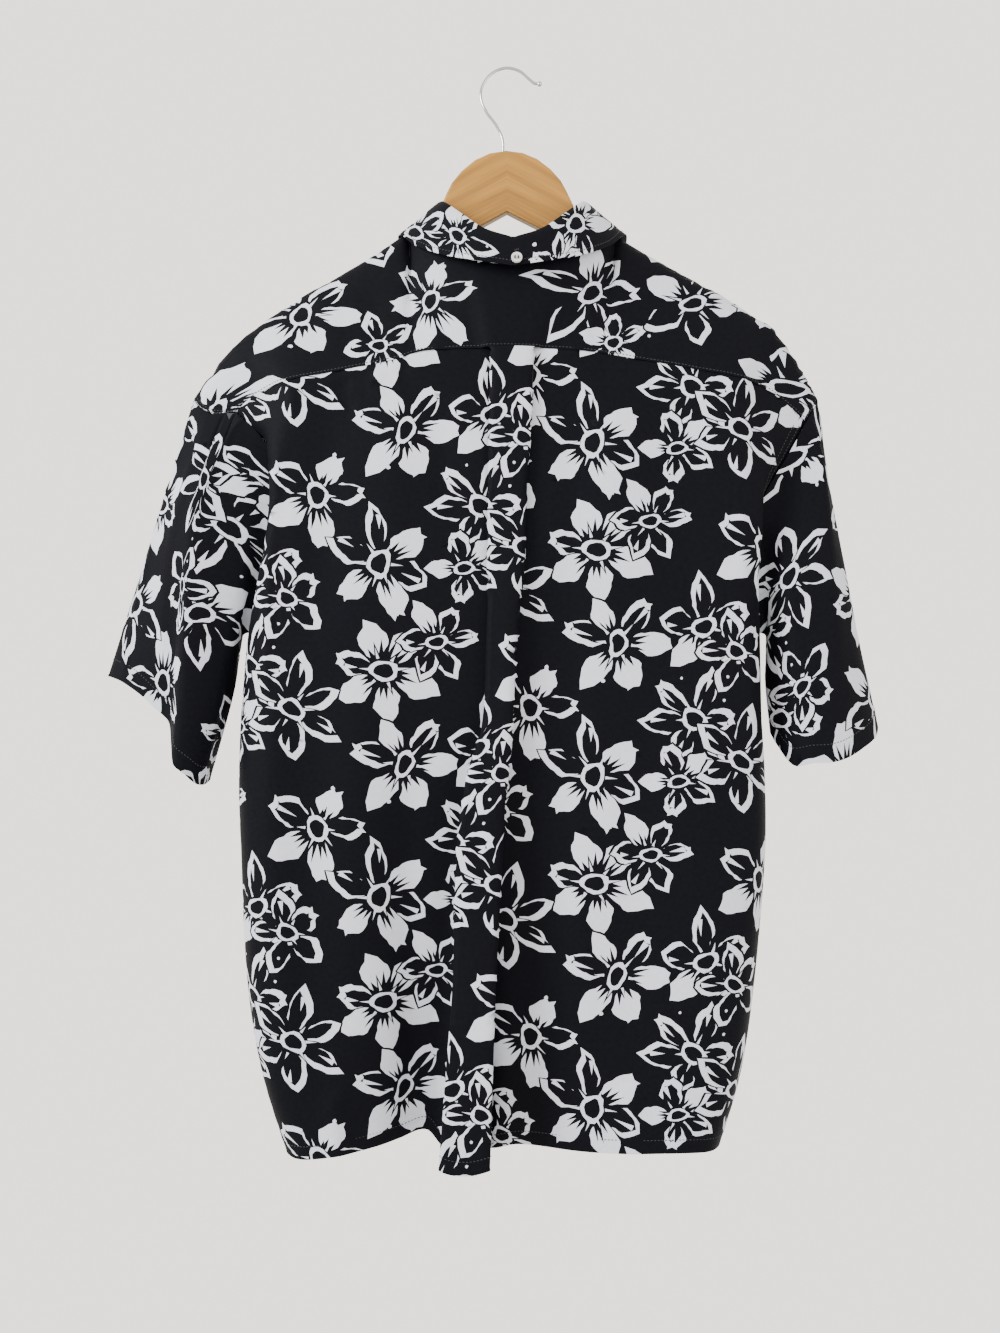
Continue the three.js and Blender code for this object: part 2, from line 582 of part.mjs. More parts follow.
// The front neckline at a distance across, on either side of the middle.
function frontNeck(x) {
  const rows = [5, 6, 7, 8].flatMap((station) =>
    [1, -1].map((sign) => {
      const p = collarPoint(sign, station, 'neck');
      return { x: p.x, y: p.y, z: p.z };
    }),
  );
  rows.sort((a, b) => a.x - b.x);
  return vec(x, read(rows, 'x', 'y', x), read(rows, 'x', 'z', x));
}

function frontGrid(side) {
  const { sign } = side;
  const under = sign > 0 ? 0 : CLOTH + LAP_GAP * 2;
  const first = frontSection(side, UNDERARM_Z);
  const shares = shoulderPlaces(side);
  const last = FRONT_PLACES.length - 1;
  const tops = first.map((p, j) => {
    if (j <= NECK_COLUMN) return frontSeam(side, shares[j]);
    const station = SIDE_STATION + j - NECK_COLUMN;
    const x = j < last ? collarPoint(sign, station, 'neck').x : p.x;
    const top = frontNeck(x);
    top.y += under * (1 - step(sign * x, 24, 50));
    return top;
  });
  const settle = FRONT_SETTLE.down;
  const grid = BODY_ROWS.map((t) =>
    tops.map((top, j) => {
      const z = mix(top.z, FRONT_HEM_Z, t);
      const p = frontSection(side, z)[j];
      const away = top.clone().sub(frontSection(side, top.z)[j]);
      const kept = 1 - step(top.z - z, 0, settle);
      const nearNeck = 1 - step(Math.abs(Math.abs(top.x) - FRONT_SETTLE.neckX), 15, 45);
      const keptOut = 1 - step(top.z - z, 0, mix(settle, FRONT_SETTLE.byNeck, nearNeck));
      return p.add(vec(away.x * kept, away.y * keptOut, 0)).setZ(z);
    }),
  );
  pullIn(grid, 'top', SEAM_GAP);
  grid[0].forEach((p, j) => j >= NECK_COLUMN && towards(p, grid[1][j], NECK_CLEAR));
  pullIn(grid, 'start', SEAM_GAP);
  // Rows run down; on the wearer's left the columns run away from the left side, seen from inside
  // the shirt, so they are turned to face out.
  return grid.map((row) => (sign > 0 ? [...row].reverse() : row));
}

function placketGrid(leftFront) {
  const strip = leftFront.map((row) => row.slice(0, 3));
  return lifted(strip, CLOTH + LAP_GAP);
}

// The sideways way out of the collar at a station, level with the ground.
function collarOut(sign, station, part) {
  const near = 0.05;
  const a = collarPoint(sign, Math.max(station - near, 0), part);
  const b = collarPoint(sign, Math.min(station + near, FRONT_STATION), part);
  const run = b.sub(a).setZ(0).normalize();
  return station === 0 ? vec(0, 1, 0) : vec(sign * -run.y, sign * run.x, 0);
}

// The collar's columns run from the front end on the wearer's left round the back to the other.
function collarColumns() {
  const count = COLLAR_COLUMNS / 2;
  const half = Array.from({ length: count }, (_, i) => FRONT_STATION * (1 - i / count));
  return [
    ...half.map((station) => ({ sign: 1, station })),
    { sign: 1, station: 0 },
    ...half.reverse().map((station) => ({ sign: -1, station })),
  ];
}

function standGrid() {
  const bow = 1;
  const rows = even(STAND_ROWS).map((t) => mix(0.04, 1, t));
  return rows.map((t) =>
    collarColumns().map(({ sign, station }) => {
      const neck = collarPoint(sign, station, 'neck');
      const fold = collarPoint(sign, station, 'fold');
      const out = collarOut(sign, station, 'fold');
      return fold.lerp(neck, t).addScaledVector(out, bow * Math.sin(Math.PI * t));
    }),
  );
}

// The leaf rolls out over the stand's fold edge and falls from there to its own edge.
function leafGrid() {
  const rolled = (t) => mix(-0.1, 1, Math.sqrt(Math.min(t / LEAF_ROWS[2], 1)));
  return LEAF_ROWS.map((t) =>
    collarColumns().map(({ sign, station }) => {
      const out = collarOut(sign, station, 'fold');
      const fold = collarPoint(sign, station, 'fold');
      const edge = collarPoint(sign, station, 'edge');
      const point = fold.lerp(edge, t).addScaledVector(out, rolled(t) * LEAF_LIFT);
      return point.add(vec(0, 0, LEAF_RISE));
    }),
  );
}

// A sleeve's lines, with one more between each two of its table. In the armhole's fold a line
// starts on the body's own edge.
function sleeveLines(lines, { sign, table, cap }) {
  const toPoint = ([out, drop, back]) => vec(sign * out, back, -drop);
  const parts = ['seam', 'mid', 'hem'];
  const ringOf = (part) => lines.map((line) => toPoint(line[part]));
  const rings = parts.map((part) => new THREE.CatmullRomCurve3(ringOf(part), true, 'centripetal'));
  return lines.flatMap((line, k) => {
    const between = rings.map((ring) => ring.getPoint((k + 0.5) / lines.length));
    const next = lines[(k + 1) % lines.length];
    if (Math.min(line.seam[1], next.seam[1]) >= -cap[0].z) {
      const z = -(line.seam[1] + next.seam[1]) / 2;
      const front = Math.sign(line.seam[2] + next.seam[2]);
      const at = (column) => read(table, 'z', column, z);
      between[0] = vec(sign * at('endX'), front * at('endY'), z);
    }
    return [parts.map((part) => toPoint(line[part])), between];
  });
}

// A sleeve: closed rings across its lines. In the fold it leaves the armhole sideways.
function sleeveGrid(lines, side) {
  const { sign } = side;
  const threads = sleeveLines(lines, side).map(([seam, middle, hem]) => {
    const inFold = step(-seam.z, 305, 330);
    const straight = middle.clone().sub(seam).normalize();
    const leave = straight.lerp(vec(sign, 0, -0.35), inFold).normalize();
    const clear = SEAM_GAP + SLEEVE_START * Math.max(inFold, 0.25);
    const from = seam.clone().addScaledVector(leave, clear);
    const near = seam.clone().addScaledVector(leave, SLEEVE_LEAVE);
    return along([from, near, middle, hem], even(SLEEVE_ROWS));
  });
  const rings = even(SLEEVE_ROWS).map((_, i) => threads.map((thread) => thread[i]));
  return rings.map((ring) => (sign > 0 ? ring : [...ring].reverse()));
}

// A round button with four holes, lying in the x-z plane with its face towards -y.
function buttonGeometry(scale) {
  const ring = (radius, sides, x = 0, y = 0) =>
    Array.from({ length: sides }, (_, i) => {
      const turn = (i / sides) * Math.PI * 2;
      return new THREE.Vector2(x + radius * Math.cos(turn), y + radius * Math.sin(turn));
    });
  const outline = new THREE.Shape(ring(BUTTON.radius * scale, 20));
  for (const x of [-1, 1]) {
    for (const y of [-1, 1]) {
      const offset = BUTTON.holeOffset * scale;
      outline.holes.push(new THREE.Path(ring(BUTTON.holeRadius * scale, 6, x * offset, y * offset)));
    }
  }
  const depth = BUTTON.thick * scale;
  const geometry = new THREE.ExtrudeGeometry(outline, { depth, bevelEnabled: false });
  return geometry.rotateX(Math.PI / 2);
}

// The hanger's wood: an arched middle and two arms, cut from a board with eased edges and bored
// for the hook.
function woodGeometry() {
  const flat = (rows) => rows.map(({ x, z }) => new THREE.Vector2(x, z));
  const right = flat(ARM_TOP);
  const under = (x) => WOOD_UNDERSIDE.apexZ - WOOD_UNDERSIDE.slope * x;
  const tipTop = right.at(-1);
  const tipBottom = new THREE.Vector2(tipTop.x - 4, under(tipTop.x - 4));
  const tip = [0.2, 0.5, 0.8].map((t) => {
    const p = tipTop.clone().lerp(tipBottom, t);
    return p.add(new THREE.Vector2(TIP_ROUND * Math.sin(Math.PI * t), -2 * t));
  });
  const half = [...flat(WOOD_ARCH), ...right, ...tip, tipBottom, new THREE.Vector2(110, under(110))];
  const mirrored = half.slice(1).reverse().map((p) => new THREE.Vector2(-p.x, p.y));
  const outline = new THREE.Shape([...half, new THREE.Vector2(0, WOOD_UNDERSIDE.apexZ), ...mirrored]);
  const depth = WOOD_THICK - 2 * EASED_EDGE;
  const geometry = new THREE.ExtrudeGeometry(outline, {
    depth,
    bevelSize: EASED_EDGE,
    bevelThickness: EASED_EDGE,
    bevelOffset: -EASED_EDGE,
    bevelSegments: 2,
  });
  geometry.translate(0, 0, -depth / 2);
  geometry.rotateX(Math.PI / 2);
  geometry.translate(0, 0, -WOOD_UNDERSIDE.apexZ);
  geometry.rotateY(WOOD_TILT);
  return geometry.translate(0, 0, WOOD_UNDERSIDE.apexZ);
}

function hookGeometry() {
  const stops = HOOK_ROUTE.map(({ x, z }) => vec(x, 0, z));
  const extrudePath = new THREE.CatmullRomCurve3(stops, false, 'centripetal');
  const section = new THREE.Shape(
    Array.from({ length: 10 }, (_, i) => {
      const turn = (i / 10) * Math.PI * 2;
      return new THREE.Vector2((WIRE / 2) * Math.cos(turn), (WIRE / 2) * Math.sin(turn));
    }),
  );
  return new THREE.ExtrudeGeometry(section, { steps: HOOK_STEPS, extrudePath, bevelEnabled: false });
}

const wasm = await Module();
wasm.setup();

// A geometry as a solid that can be cut and joined, and back.
function solid(geometry) {
  const bare = new THREE.BufferGeometry();
  bare.setAttribute('position', geometry.getAttribute('position').clone());
  if (geometry.index) bare.setIndex(geometry.index.clone());
  const merged = mergeVertices(bare, 1e-4);
  const vertProperties = new Float32Array(merged.getAttribute('position').array);
  const triVerts = new Uint32Array(merged.index.array);
  return new wasm.Manifold(new wasm.Mesh({ numProp: 3, vertProperties, triVerts }));
}
function plain(manifold) {
  const { vertProperties, triVerts } = manifold.getMesh();
  const geometry = new THREE.BufferGeometry();
  geometry.setAttribute('position', new THREE.Float32BufferAttribute(vertProperties, 3));
  geometry.setIndex([...triVerts]);
  return geometry;
}

function boredWood() {
  const radius = WIRE / 2 + BORE.clear;
  const bore = new THREE.CylinderGeometry(radius, radius, BORE.length, 14);
  bore.rotateX(Math.PI / 2).translate(BORE.x, 0, BORE.bottomZ + BORE.length / 2);
  return plain(solid(woodGeometry()).subtract(solid(bore)));
}

function hookWithBall() {
  const { x, z } = HOOK_ROUTE.at(-1);
  const ball = new THREE.SphereGeometry(BALL_RADIUS, 12, 8).translate(x, 0, z);
  return plain(solid(hookGeometry()).add(solid(ball)));
}

function finish(color, roughness, metalness = 0) {
  return new THREE.MeshStandardMaterial({ color, roughness, metalness });
}
const part = new THREE.Group();
function add(name, geometry, material) {
  const mesh = new THREE.Mesh(geometry, material);
  mesh.name = name;
  part.add(mesh);
  return mesh;
}

const INK = 0x101016;
const cloth = () => finish(INK, 0.85);
const shell = () => finish(0xe8e6e0, 0.35);
add('back_panel', wall(backGrid()), cloth());
add('back_yoke', wall(yokeGrid()), cloth());
const leftFront = frontGrid(SIDES.left);
add('left_front', wall(leftFront), cloth());
add('right_front', wall(frontGrid(SIDES.right)), cloth());
const placket = placketGrid(leftFront);
add('front_placket', wall(placket), cloth());
add('left_sleeve', wall(sleeveGrid(LEFT_SLEEVE, SIDES.left), CLOTH, true), cloth());
add('right_sleeve', wall(sleeveGrid(RIGHT_SLEEVE, SIDES.right), CLOTH, true), cloth());
add('collar_stand', wall(standGrid()), cloth());
add('collar_leaf', wall(leafGrid()), cloth());

// The front buttons lie on the placket's middle column.
const middleColumn = placket.map((row) => ({ z: row[1].z, y: row[1].y }));
for (let i = 0; i < FRONT_BUTTONS.count; i += 1) {
  const z = FRONT_BUTTONS.firstZ - i * FRONT_BUTTONS.pitch;
  const button = add(`front_button_${i + 1}`, buttonGeometry(1), shell());
  button.position.set(FRONT_CENTRE, read(middleColumn, 'z', 'y', z) - CLOTH / 2 - BUTTON_SEAT, z);
}

// The back button lies on the collar leaf, just above its edge.
const leafEdge = collarPoint(1, 0, 'edge');
const leafFold = collarPoint(1, 0, 'fold');
const backButton = add('back_collar_button', buttonGeometry(BACK_BUTTON_SCALE), shell());
const up = leafFold.clone().sub(leafEdge);
backButton.rotation.set(Math.atan2(leafEdge.y - leafFold.y, up.z), 0, Math.PI);
const seat = leafFold.clone().lerp(leafEdge, 0.76);
backButton.position.set(BACK_BUTTON_X, seat.y + CLOTH / 2 + BACK_BUTTON_SEAT, seat.z + LEAF_RISE);

add('hanger_wood', boredWood(), finish(0xc59a63, 0.55));
add('hanger_hook', hookWithBall(), finish(0xd5d8dc, 0.15, 1));

export default part;
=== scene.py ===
import math
import random

import bpy
import numpy as np
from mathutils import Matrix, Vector
from mathutils.geometry import delaunay_2d_cdt


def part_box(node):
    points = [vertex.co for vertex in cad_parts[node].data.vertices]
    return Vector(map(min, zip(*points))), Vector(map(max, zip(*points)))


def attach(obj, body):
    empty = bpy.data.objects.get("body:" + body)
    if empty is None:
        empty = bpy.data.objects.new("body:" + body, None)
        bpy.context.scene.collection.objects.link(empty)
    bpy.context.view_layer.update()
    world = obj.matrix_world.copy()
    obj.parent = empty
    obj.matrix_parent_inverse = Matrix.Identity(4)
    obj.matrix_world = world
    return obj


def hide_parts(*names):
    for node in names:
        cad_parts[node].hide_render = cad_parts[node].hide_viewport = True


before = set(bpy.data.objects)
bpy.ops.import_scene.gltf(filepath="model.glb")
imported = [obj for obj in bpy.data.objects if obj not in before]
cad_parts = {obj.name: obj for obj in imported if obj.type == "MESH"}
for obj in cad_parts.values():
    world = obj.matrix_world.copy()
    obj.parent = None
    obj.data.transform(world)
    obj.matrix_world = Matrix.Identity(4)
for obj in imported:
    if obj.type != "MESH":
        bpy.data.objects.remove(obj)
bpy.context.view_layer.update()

bl_info = {
    "name": "Flower-print shirt on a hanger",
    "version": (1, 0, 0),
    "blender": (4, 5, 0),
    "location": "View3D > Sidebar > Shirt",
    "description": "Builds a hanging shirt with its print, sewing, buttons and hanger",
    "category": "Object",
}

MM = 0.001

# Garment measures in millimetres, in the frame of the CAD: +Z up, +Y the back, +X the wearer's left
UNDERARM_Z = -505
LAYER_GAP = 1.0
FRONT_CENTRE = -3
PLACKET_WIDTH = 30
FRONT_HEM_Z = -962
FRONT_WAVE = {"height": 5, "across": 92}
FRONT_SETTLE = {"down": 75, "byNeck": 30, "neckX": 104}
FRONT_SEAM = {"drop": 26, "forward": 14, "least": 0.1}
OVER_ARM = {"out": 8.8, "drop": 3.2}
NECK_CLEAR = 1.6
COLLAR_MIDDLE = -5
LEAF_LIFT = 1.9
LEAF_RISE = 1.6
SIDE_STATION = 4
FRONT_STATION = 8
SLEEVE_LEAVE = 13
SLEEVE_START = 1.8
SEAM_GAP = 0.3


def table(names, *rows):
    """A table with named columns, one tuple a row."""
    return [dict(zip(names.split(), row)) for row in rows]


YOKE_SEAM = table(
    "x z",
    (-270, -321),
    (-230, -292),
    (-158, -276),
    (-134, -272),
    (-58, -261),
    (70, -261),
    (99, -269),
    (144, -278),
    (217, -293),
    (245, -312),
)
BACK_HEM = table(
    "x z",
    (-196, -963),
    (-155, -961),
    (-83, -962),
    (-9, -961),
    (14, -966),
    (35, -970),
    (58, -966),
    (72, -952),
    (95, -957),
    (155, -966),
    (187, -970),
    (200, -968),
)
SECTION = "z endX endY foldX foldY flankY hollowY pleatX"
LEFT = table(
    SECTION,
    (-240, 262, 8, 208, 20, 29, 34, 15.5),
    (-300, 248, 11, 210, 23, 34, 36, 16),
    (-345, 208, 14, 210, 30, 38, 38, 16.5),
    (-400, 203, 13, 207, 34, 40, 40, 17.5),
    (-460, 213, 7, 218, 30, 41, 39, 18.5),
    (-505, 226, 1, 228, 20, 42, 38, 19.5),
    (-580, 235, 0, 235, 18, 42, 36, 22),
    (-640, 238, 0, 237, 18, 42, 32, 37),
    (-700, 237.5, 0, 235, 18, 41, 27, 44.5),
    (-820, 232, 0, 229, 17, 39, 17, 49),
    (-900, 219, 0, 216, 16, 36, 10, 54),
    (-975, 196, 0, 193, 15, 33, 4, 59),
)
RIGHT = table(
    SECTION,
    (-240, 276, 6, 216, 20, 29, 34, 25),
    (-300, 272, 8, 222, 23, 34, 36, 23),
    (-345, 250, 12, 223, 29, 38, 38, 20),
    (-370, 235, 13, 222, 32, 39, 39, 18.5),
    (-400, 221, 14, 223, 34, 40, 40, 17),
    (-460, 216, 8, 220, 31, 41, 39, 13.5),
    (-505, 221, 1, 223, 20, 41, 37, 10),
    (-580, 225, 0, 225, 18, 41, 35, 6),
    (-640, 229.5, 0, 228, 18, 41, 32, 0),
    (-700, 230.5, 0, 228, 18, 41, 29, -4),
    (-820, 221, 0, 218, 17, 40, 24, -10),
    (-900, 209, 0, 206, 16, 39, 19, -13),
    (-975, 187, 0, 184, 15, 37, 13, -15),
)
PLEAT = table(
    "z faceY tuck innerY",
    (-240, 39, 12, 34),
    (-300, 42, 12, 36.5),
    (-400, 46, 11, 40),
    (-505, 48, 10, 39),
    (-600, 49.5, 8, 36),
    (-700, 53, 6, 30),
    (-820, 57, 4, 22),
    (-900, 60, 3, 15),
    (-975, 62, 3, 8),
)
FRONT = table(
    "z flankY centreY",
    (-180, 30, 38),
    (-260, 38, 46),
    (-400, 44, 50),
    (-560, 45, 50),
    (-760, 42, 47),
    (-975, 36, 44),
)
LEFT_RIDGE = table(
    "x z",
    (92, -150.2),
    (119, -168.5),
    (159, -192.2),
    (186, -207.6),
    (222, -230.6),
    (240, -243.5),
    (257, -260),
    (271, -281),
    (281, -296),
)
RIGHT_RIDGE = table(
    "x z",
    (96, -150.2),
    (119, -164.3),
    (159, -186.7),
    (186, -201.2),
    (222, -222.8),
    (240, -234.5),
    (257, -255),
    (270, -279),
    (279, -297),
)
LEFT_CAP = table(
    "x z y",
    (241, -310, 12),
    (262, -311, 9),
    (274, -306, 6),
    (281, -296, 0),
    (264, -309, -8),
    (241, -310, -12),
)
RIGHT_CAP = table(
    "x z y",
    (266, -318, 10),
    (270, -312, 8),
    (275, -306, 5),
    (279, -297, 0),
    (272, -308, -7),
    (266, -318, -10),
)
SIDES = {
    "left": {"sign": 1, "table": LEFT, "cap": LEFT_CAP, "ridge": LEFT_RIDGE},
    "right": {"sign": -1, "table": RIGHT, "cap": RIGHT_CAP, "ridge": RIGHT_RIDGE},
}
COLLAR = {
    "neck": table(
        "station x y z",
        (0, 0, 40, -189),
        (1, 36, 37.5, -184),
        (2, 67, 29, -172),
        (3, 87, 15, -157),
        (4, 92.5, 0, -146),
        (5, 89, -15, -157),
        (6, 73, -33, -184),
        (7, 44, -44.5, -211),
        (8, 13, -49, -225),
    ),
    "fold": table(
        "station x y z",
        (0, 0, 46, -168.5),
        (1, 25, 41, -159),
        (2, 45, 29, -142),
        (3, 60, 15, -127),
        (4, 65, 0, -122),
        (5, 62, -15, -128),
        (6, 50, -31, -145),
        (7, 31, -43, -167),
        (8, 9, -48, -186),
    ),
    "edge": table(
        "station x y z",
        (0, 0, 52, -195.5),
        (1, 30, 49, -190),
        (2, 58, 40, -182.5),
        (3, 84, 25, -169),
        (4, 99.5, 4, -151.5),
        (5, 101, -17, -160),
        (6, 96, -39, -187),
        (7, 68, -56, -228),
        (8, 22, -58, -216),
    ),
}
# Sleeve lines from the armhole to the hem, each place as out, drop and back
LEFT_SLEEVE = table(
    "seam mid hem",
    ((281, 296, 0), (317, 410, -4), (363, 546, -12)),
    ((274, 306, 6), (304, 410, 13), (341, 553, 3)),
    ((262, 311, 9), (290, 412, 23), (316, 573, 9)),
    ((251, 311, 11), (281, 416, 28), (300, 588, 14)),
    ((241, 310, 12), (273, 422, 29), (291, 622, 36)),
    ((224, 324, 13), (258, 432, 26), (281, 632, 34)),
    ((208, 345, 14), (244, 450, 22), (274, 640, 27)),
    ((203, 400, 13), (236, 480, 17), (270, 642, 18)),
    ((213, 460, 7), (242, 520, 9), (268, 641, 9)),
    ((226, 505, 0), (245, 556, 0), (267, 637, 0)),
    ((213, 460, -7), (245, 520, -11), (277, 626, -10)),
    ((203, 400, -13), (248, 480, -22), (298, 602, -24)),
    ((208, 345, -14), (264, 440, -27), (326, 575, -33)),
    ((241, 310, -12), (289, 420, -23), (347, 557, -29)),
    ((264, 309, -8), (307, 411, -15), (359, 548, -21)),
)
RIGHT_SLEEVE = table(
    "seam mid hem",
    ((279, 297, 0), (301, 430, 0), (334, 590, -2)),
    ((275, 306, 5), (297, 431, 11), (329, 600, 9)),
    ((266, 318, 10), (286, 434, 21), (315, 609, 20)),
    ((250, 345, 12), (269, 445, 28), (299, 617, 29)),
    ((235, 370, 13), (257, 460, 30), (284, 621, 33)),
    ((221, 400, 14), (246, 478, 28), (268, 622, 31)),
    ((216, 430, 11), (240, 500, 20), (254, 625, 22)),
    ((216, 460, 8), (236, 525, 11), (244, 612, 11)),
    ((221, 505, 0), (232.5, 548, 0), (237, 596, 0)),
    ((216, 460, -8), (240, 520, -13), (250, 604, -12)),
    ((216, 430, -11), (250, 485, -23), (276, 607, -25)),
    ((221, 400, -14), (266, 455, -29), (301, 605, -31)),
    ((250, 345, -12), (284, 440, -25), (320, 599, -26)),
    ((266, 318, -10), (296, 431, -14), (331, 593, -15)),
)


# Curves and tables
def vec(x, y, z):
    return np.array((x, y, z), dtype=float)


def mix(a, b, t):
    return a + (b - a) * t


def step(x, low, high):
    """A smooth step from 0 at low to 1 at high."""
    t = np.clip((x - low) / (high - low), 0, 1)
    return t * t * (3 - 2 * t)


def read(rows, key, column, at):
    """One column of a table at a value of its key column, on a smooth curve through its rows."""
    if rows[1][key] < rows[0][key]:
        rows = rows[::-1]
    last = len(rows) - 1
    held = min(max(at, rows[0][key]), rows[last][key])
    i = 0
    while i < last - 1 and rows[i + 1][key] < held:
        i += 1

    def slope(k):
        a = rows[max(k - 1, 0)]
        b = rows[min(k + 1, last)]
        return (b[column] - a[column]) / (b[key] - a[key])

    span = rows[i + 1][key] - rows[i][key]
    t = (held - rows[i][key]) / span
    start = t * (1 - t) * (1 - t) * span * slope(i)
    end = t * t * (t - 1) * span * slope(i + 1)
    return mix(rows[i][column], rows[i + 1][column], t * t * (3 - 2 * t)) + start + end


def along(points, places, closed=False):
    """Points of a centripetal curve through given points, at places from 0 to 1."""
    pts = [np.asarray(p, dtype=float) for p in points]
    count = len(pts)
    spans = count if closed else count - 1
    found = []
    for place in places:
        at = spans * place
        i = min(int(at), spans - 1)
        t = at - i
        b, c = pts[i % count], pts[(i + 1) % count]
        a = pts[i - 1] if closed or i > 0 else 2 * b - c
        d = pts[(i + 2) % count] if closed or i + 2 < count else 2 * c - b
        gaps = [max(np.linalg.norm(q - p), 1e-4) ** 0.5 for p, q in ((a, b), (b, c), (c, d))]
        g0, g1, g2 = gaps
        out = ((b - a) / g0 - (c - a) / (g0 + g1) + (c - b) / g1) * g1
        into = ((c - b) / g1 - (d - b) / (g1 + g2) + (d - c) / g2) * g1
        bend = 3 * (c - b) - 2 * out - into
        found.append(b + out * t + bend * t * t + (2 * (b - c) + out + into) * t**3)
    return found


def spread(count):
    return np.linspace(0, 1, count)


# Surfaces: each is a family of curves. A place on it is flat cloth: a is the curve's key, and b the
# distance along the curve from its zero.
def arcs(curve):
    steps = np.linalg.norm(np.diff(curve, axis=0), axis=1)
    return np.concatenate(([0], np.cumsum(steps)))


def surface(curves, keys, zeros, sign=1, count=70, closed=False, fine=3):
    """Curves resampled evenly along their length. zeros holds each one's length before b = 0."""
    grid, lengths = [], []
    for curve in curves:
        dense = np.array(along(curve, spread(max(count, fine * len(curve)))))
        run = arcs(dense)
        even = np.linspace(0, run[-1], count)
        grid.append(np.stack([np.interp(even, run, dense[:, i]) for i in range(3)], axis=1))
        lengths.append(run[-1])
    lengths = np.array(lengths)
    starts = np.array([0 if z == "start" else run if z == "end" else z for z, run in zip(zeros, lengths)])
    return {
        "grid": np.array(grid),
        "keys": np.array(keys, dtype=float),
        "start": starts.astype(float),
        "length": lengths,
        "sign": sign,
        "closed": closed,
    }


def padded_grid(s):
    g = s["grid"]
    if s["closed"]:
        g = np.concatenate((g[-1:], g, g[:2]))
    else:
        g = np.concatenate((2 * g[:1] - g[1:2], g, 2 * g[-1:] - g[-2:-1]))
    return np.concatenate((2 * g[:, :1] - g[:, 1:2], g, 2 * g[:, -1:] - g[:, -2:-1]), axis=1)


def weights(f):
    return (
        -0.5 * f + f * f - 0.5 * f**3,
        1 - 2.5 * f * f + 1.5 * f**3,
        0.5 * f + 2 * f * f - 1.5 * f**3,
        -0.5 * f * f + 0.5 * f**3,
    )


def index_of(s, a):
    """The place of a key among the curves, and each curve's start and length there."""
    keys = s["keys"]
    if s["closed"]:
        k = np.interp(a, keys, np.arange(len(keys)))
        at = np.arange(len(keys))
        start = np.interp(k, at, np.append(s["start"], s["start"][0]))
        length = np.interp(k, at, np.append(s["length"], s["length"][0]))
        return k, start, length
    at = np.arange(len(keys))
    k = np.interp(a, keys, at) if keys[-1] > keys[0] else np.interp(-np.asarray(a), -keys, at)
    return k, np.interp(k, at, s["start"]), np.interp(k, at, s["length"])


def at_index(s, k, m):
    if "padded" not in s:
        s["padded"] = padded_grid(s)
    g = s["padded"]
    spans = s["grid"].shape[0] - (0 if s["closed"] else 1)
    columns = s["grid"].shape[1]
    i = np.clip(np.floor(k).astype(int), 0, spans - 1)
    j = np.clip(np.floor(m).astype(int), 0, columns - 2)
    wk, wm = weights(k - i), weights(m - j)
    total = 0
    for di in range(4):
        for dj in range(4):
            total = total + (wk[di] * wm[dj])[:, None] * g[i + di, j + dj]
    return total


def sample(s, a, b):
    k, start, length = index_of(s, a)
    m = (np.asarray(b) * s["sign"] + start) / length * (s["grid"].shape[1] - 1)
    return at_index(s, k, m)


def flat_b(s, a, share):
    """b at a share of the way along the curve of a key."""
    _, start, length = index_of(s, a)
    return (share * length - start) * s["sign"]


def normals(s, a, b, inside):
    """Unit normals that point away from the points that inside gives."""
    h = 0.6
    low, high = min(s["keys"][0], s["keys"][-1]), max(s["keys"][0], s["keys"][-1])
    before, after = np.clip(a - h, low, high), np.clip(a + h, low, high)
    da = sample(s, after, b) - sample(s, before, b)
    db = sample(s, a, b + h) - sample(s, a, b - h)
    n = np.cross(da, db)
    n /= np.maximum(np.linalg.norm(n, axis=1), 1e-9)[:, None]
    p = sample(s, a, b)
    side = np.sign(np.mean(np.sum(n * (p - inside(p)), axis=1)))
    return n * side


# The body's back
FOLD_TURN = {"in": 13, "deep": 0.72}  # where the cloth has turned from the side fold to the flank
HOLLOW_OUT = 30  # from the pleat's edge to the middle of the hollow beside it
FLANK_SHARE = 0.62
HOLLOW_EDGE = {"out": 0.4, "deep": 0.62}
PLEAT_SIDE = 5


def back_side(rows, sign, z):
    def at(column):
        return read(rows, "z", column, z)

    def pleat(column):
        return read(PLEAT, "z", column, z)

    fold, pleat_x = at("foldX"), at("pleatX")
    hollow_x = pleat_x + HOLLOW_OUT
    flank_x = mix(hollow_x, fold, FLANK_SHARE)
    edge_x = mix(hollow_x, flank_x, HOLLOW_EDGE["out"])
    return [
        vec(sign * at("endX"), at("endY"), z),
        vec(sign * fold, at("foldY"), z),
        vec(sign * (fold - FOLD_TURN["in"]), mix(at("foldY"), at("flankY"), FOLD_TURN["deep"]), z),
        vec(sign * flank_x, at("flankY"), z),
        vec(sign * edge_x, mix(at("hollowY"), at("flankY"), HOLLOW_EDGE["deep"]), z),
        vec(sign * hollow_x, mix(at("hollowY"), at("flankY"), 0.1), z),
        vec(sign * (pleat_x + PLEAT_SIDE), at("hollowY"), z),
        vec(sign * (pleat_x - pleat("tuck")), pleat("innerY"), z),
    ]


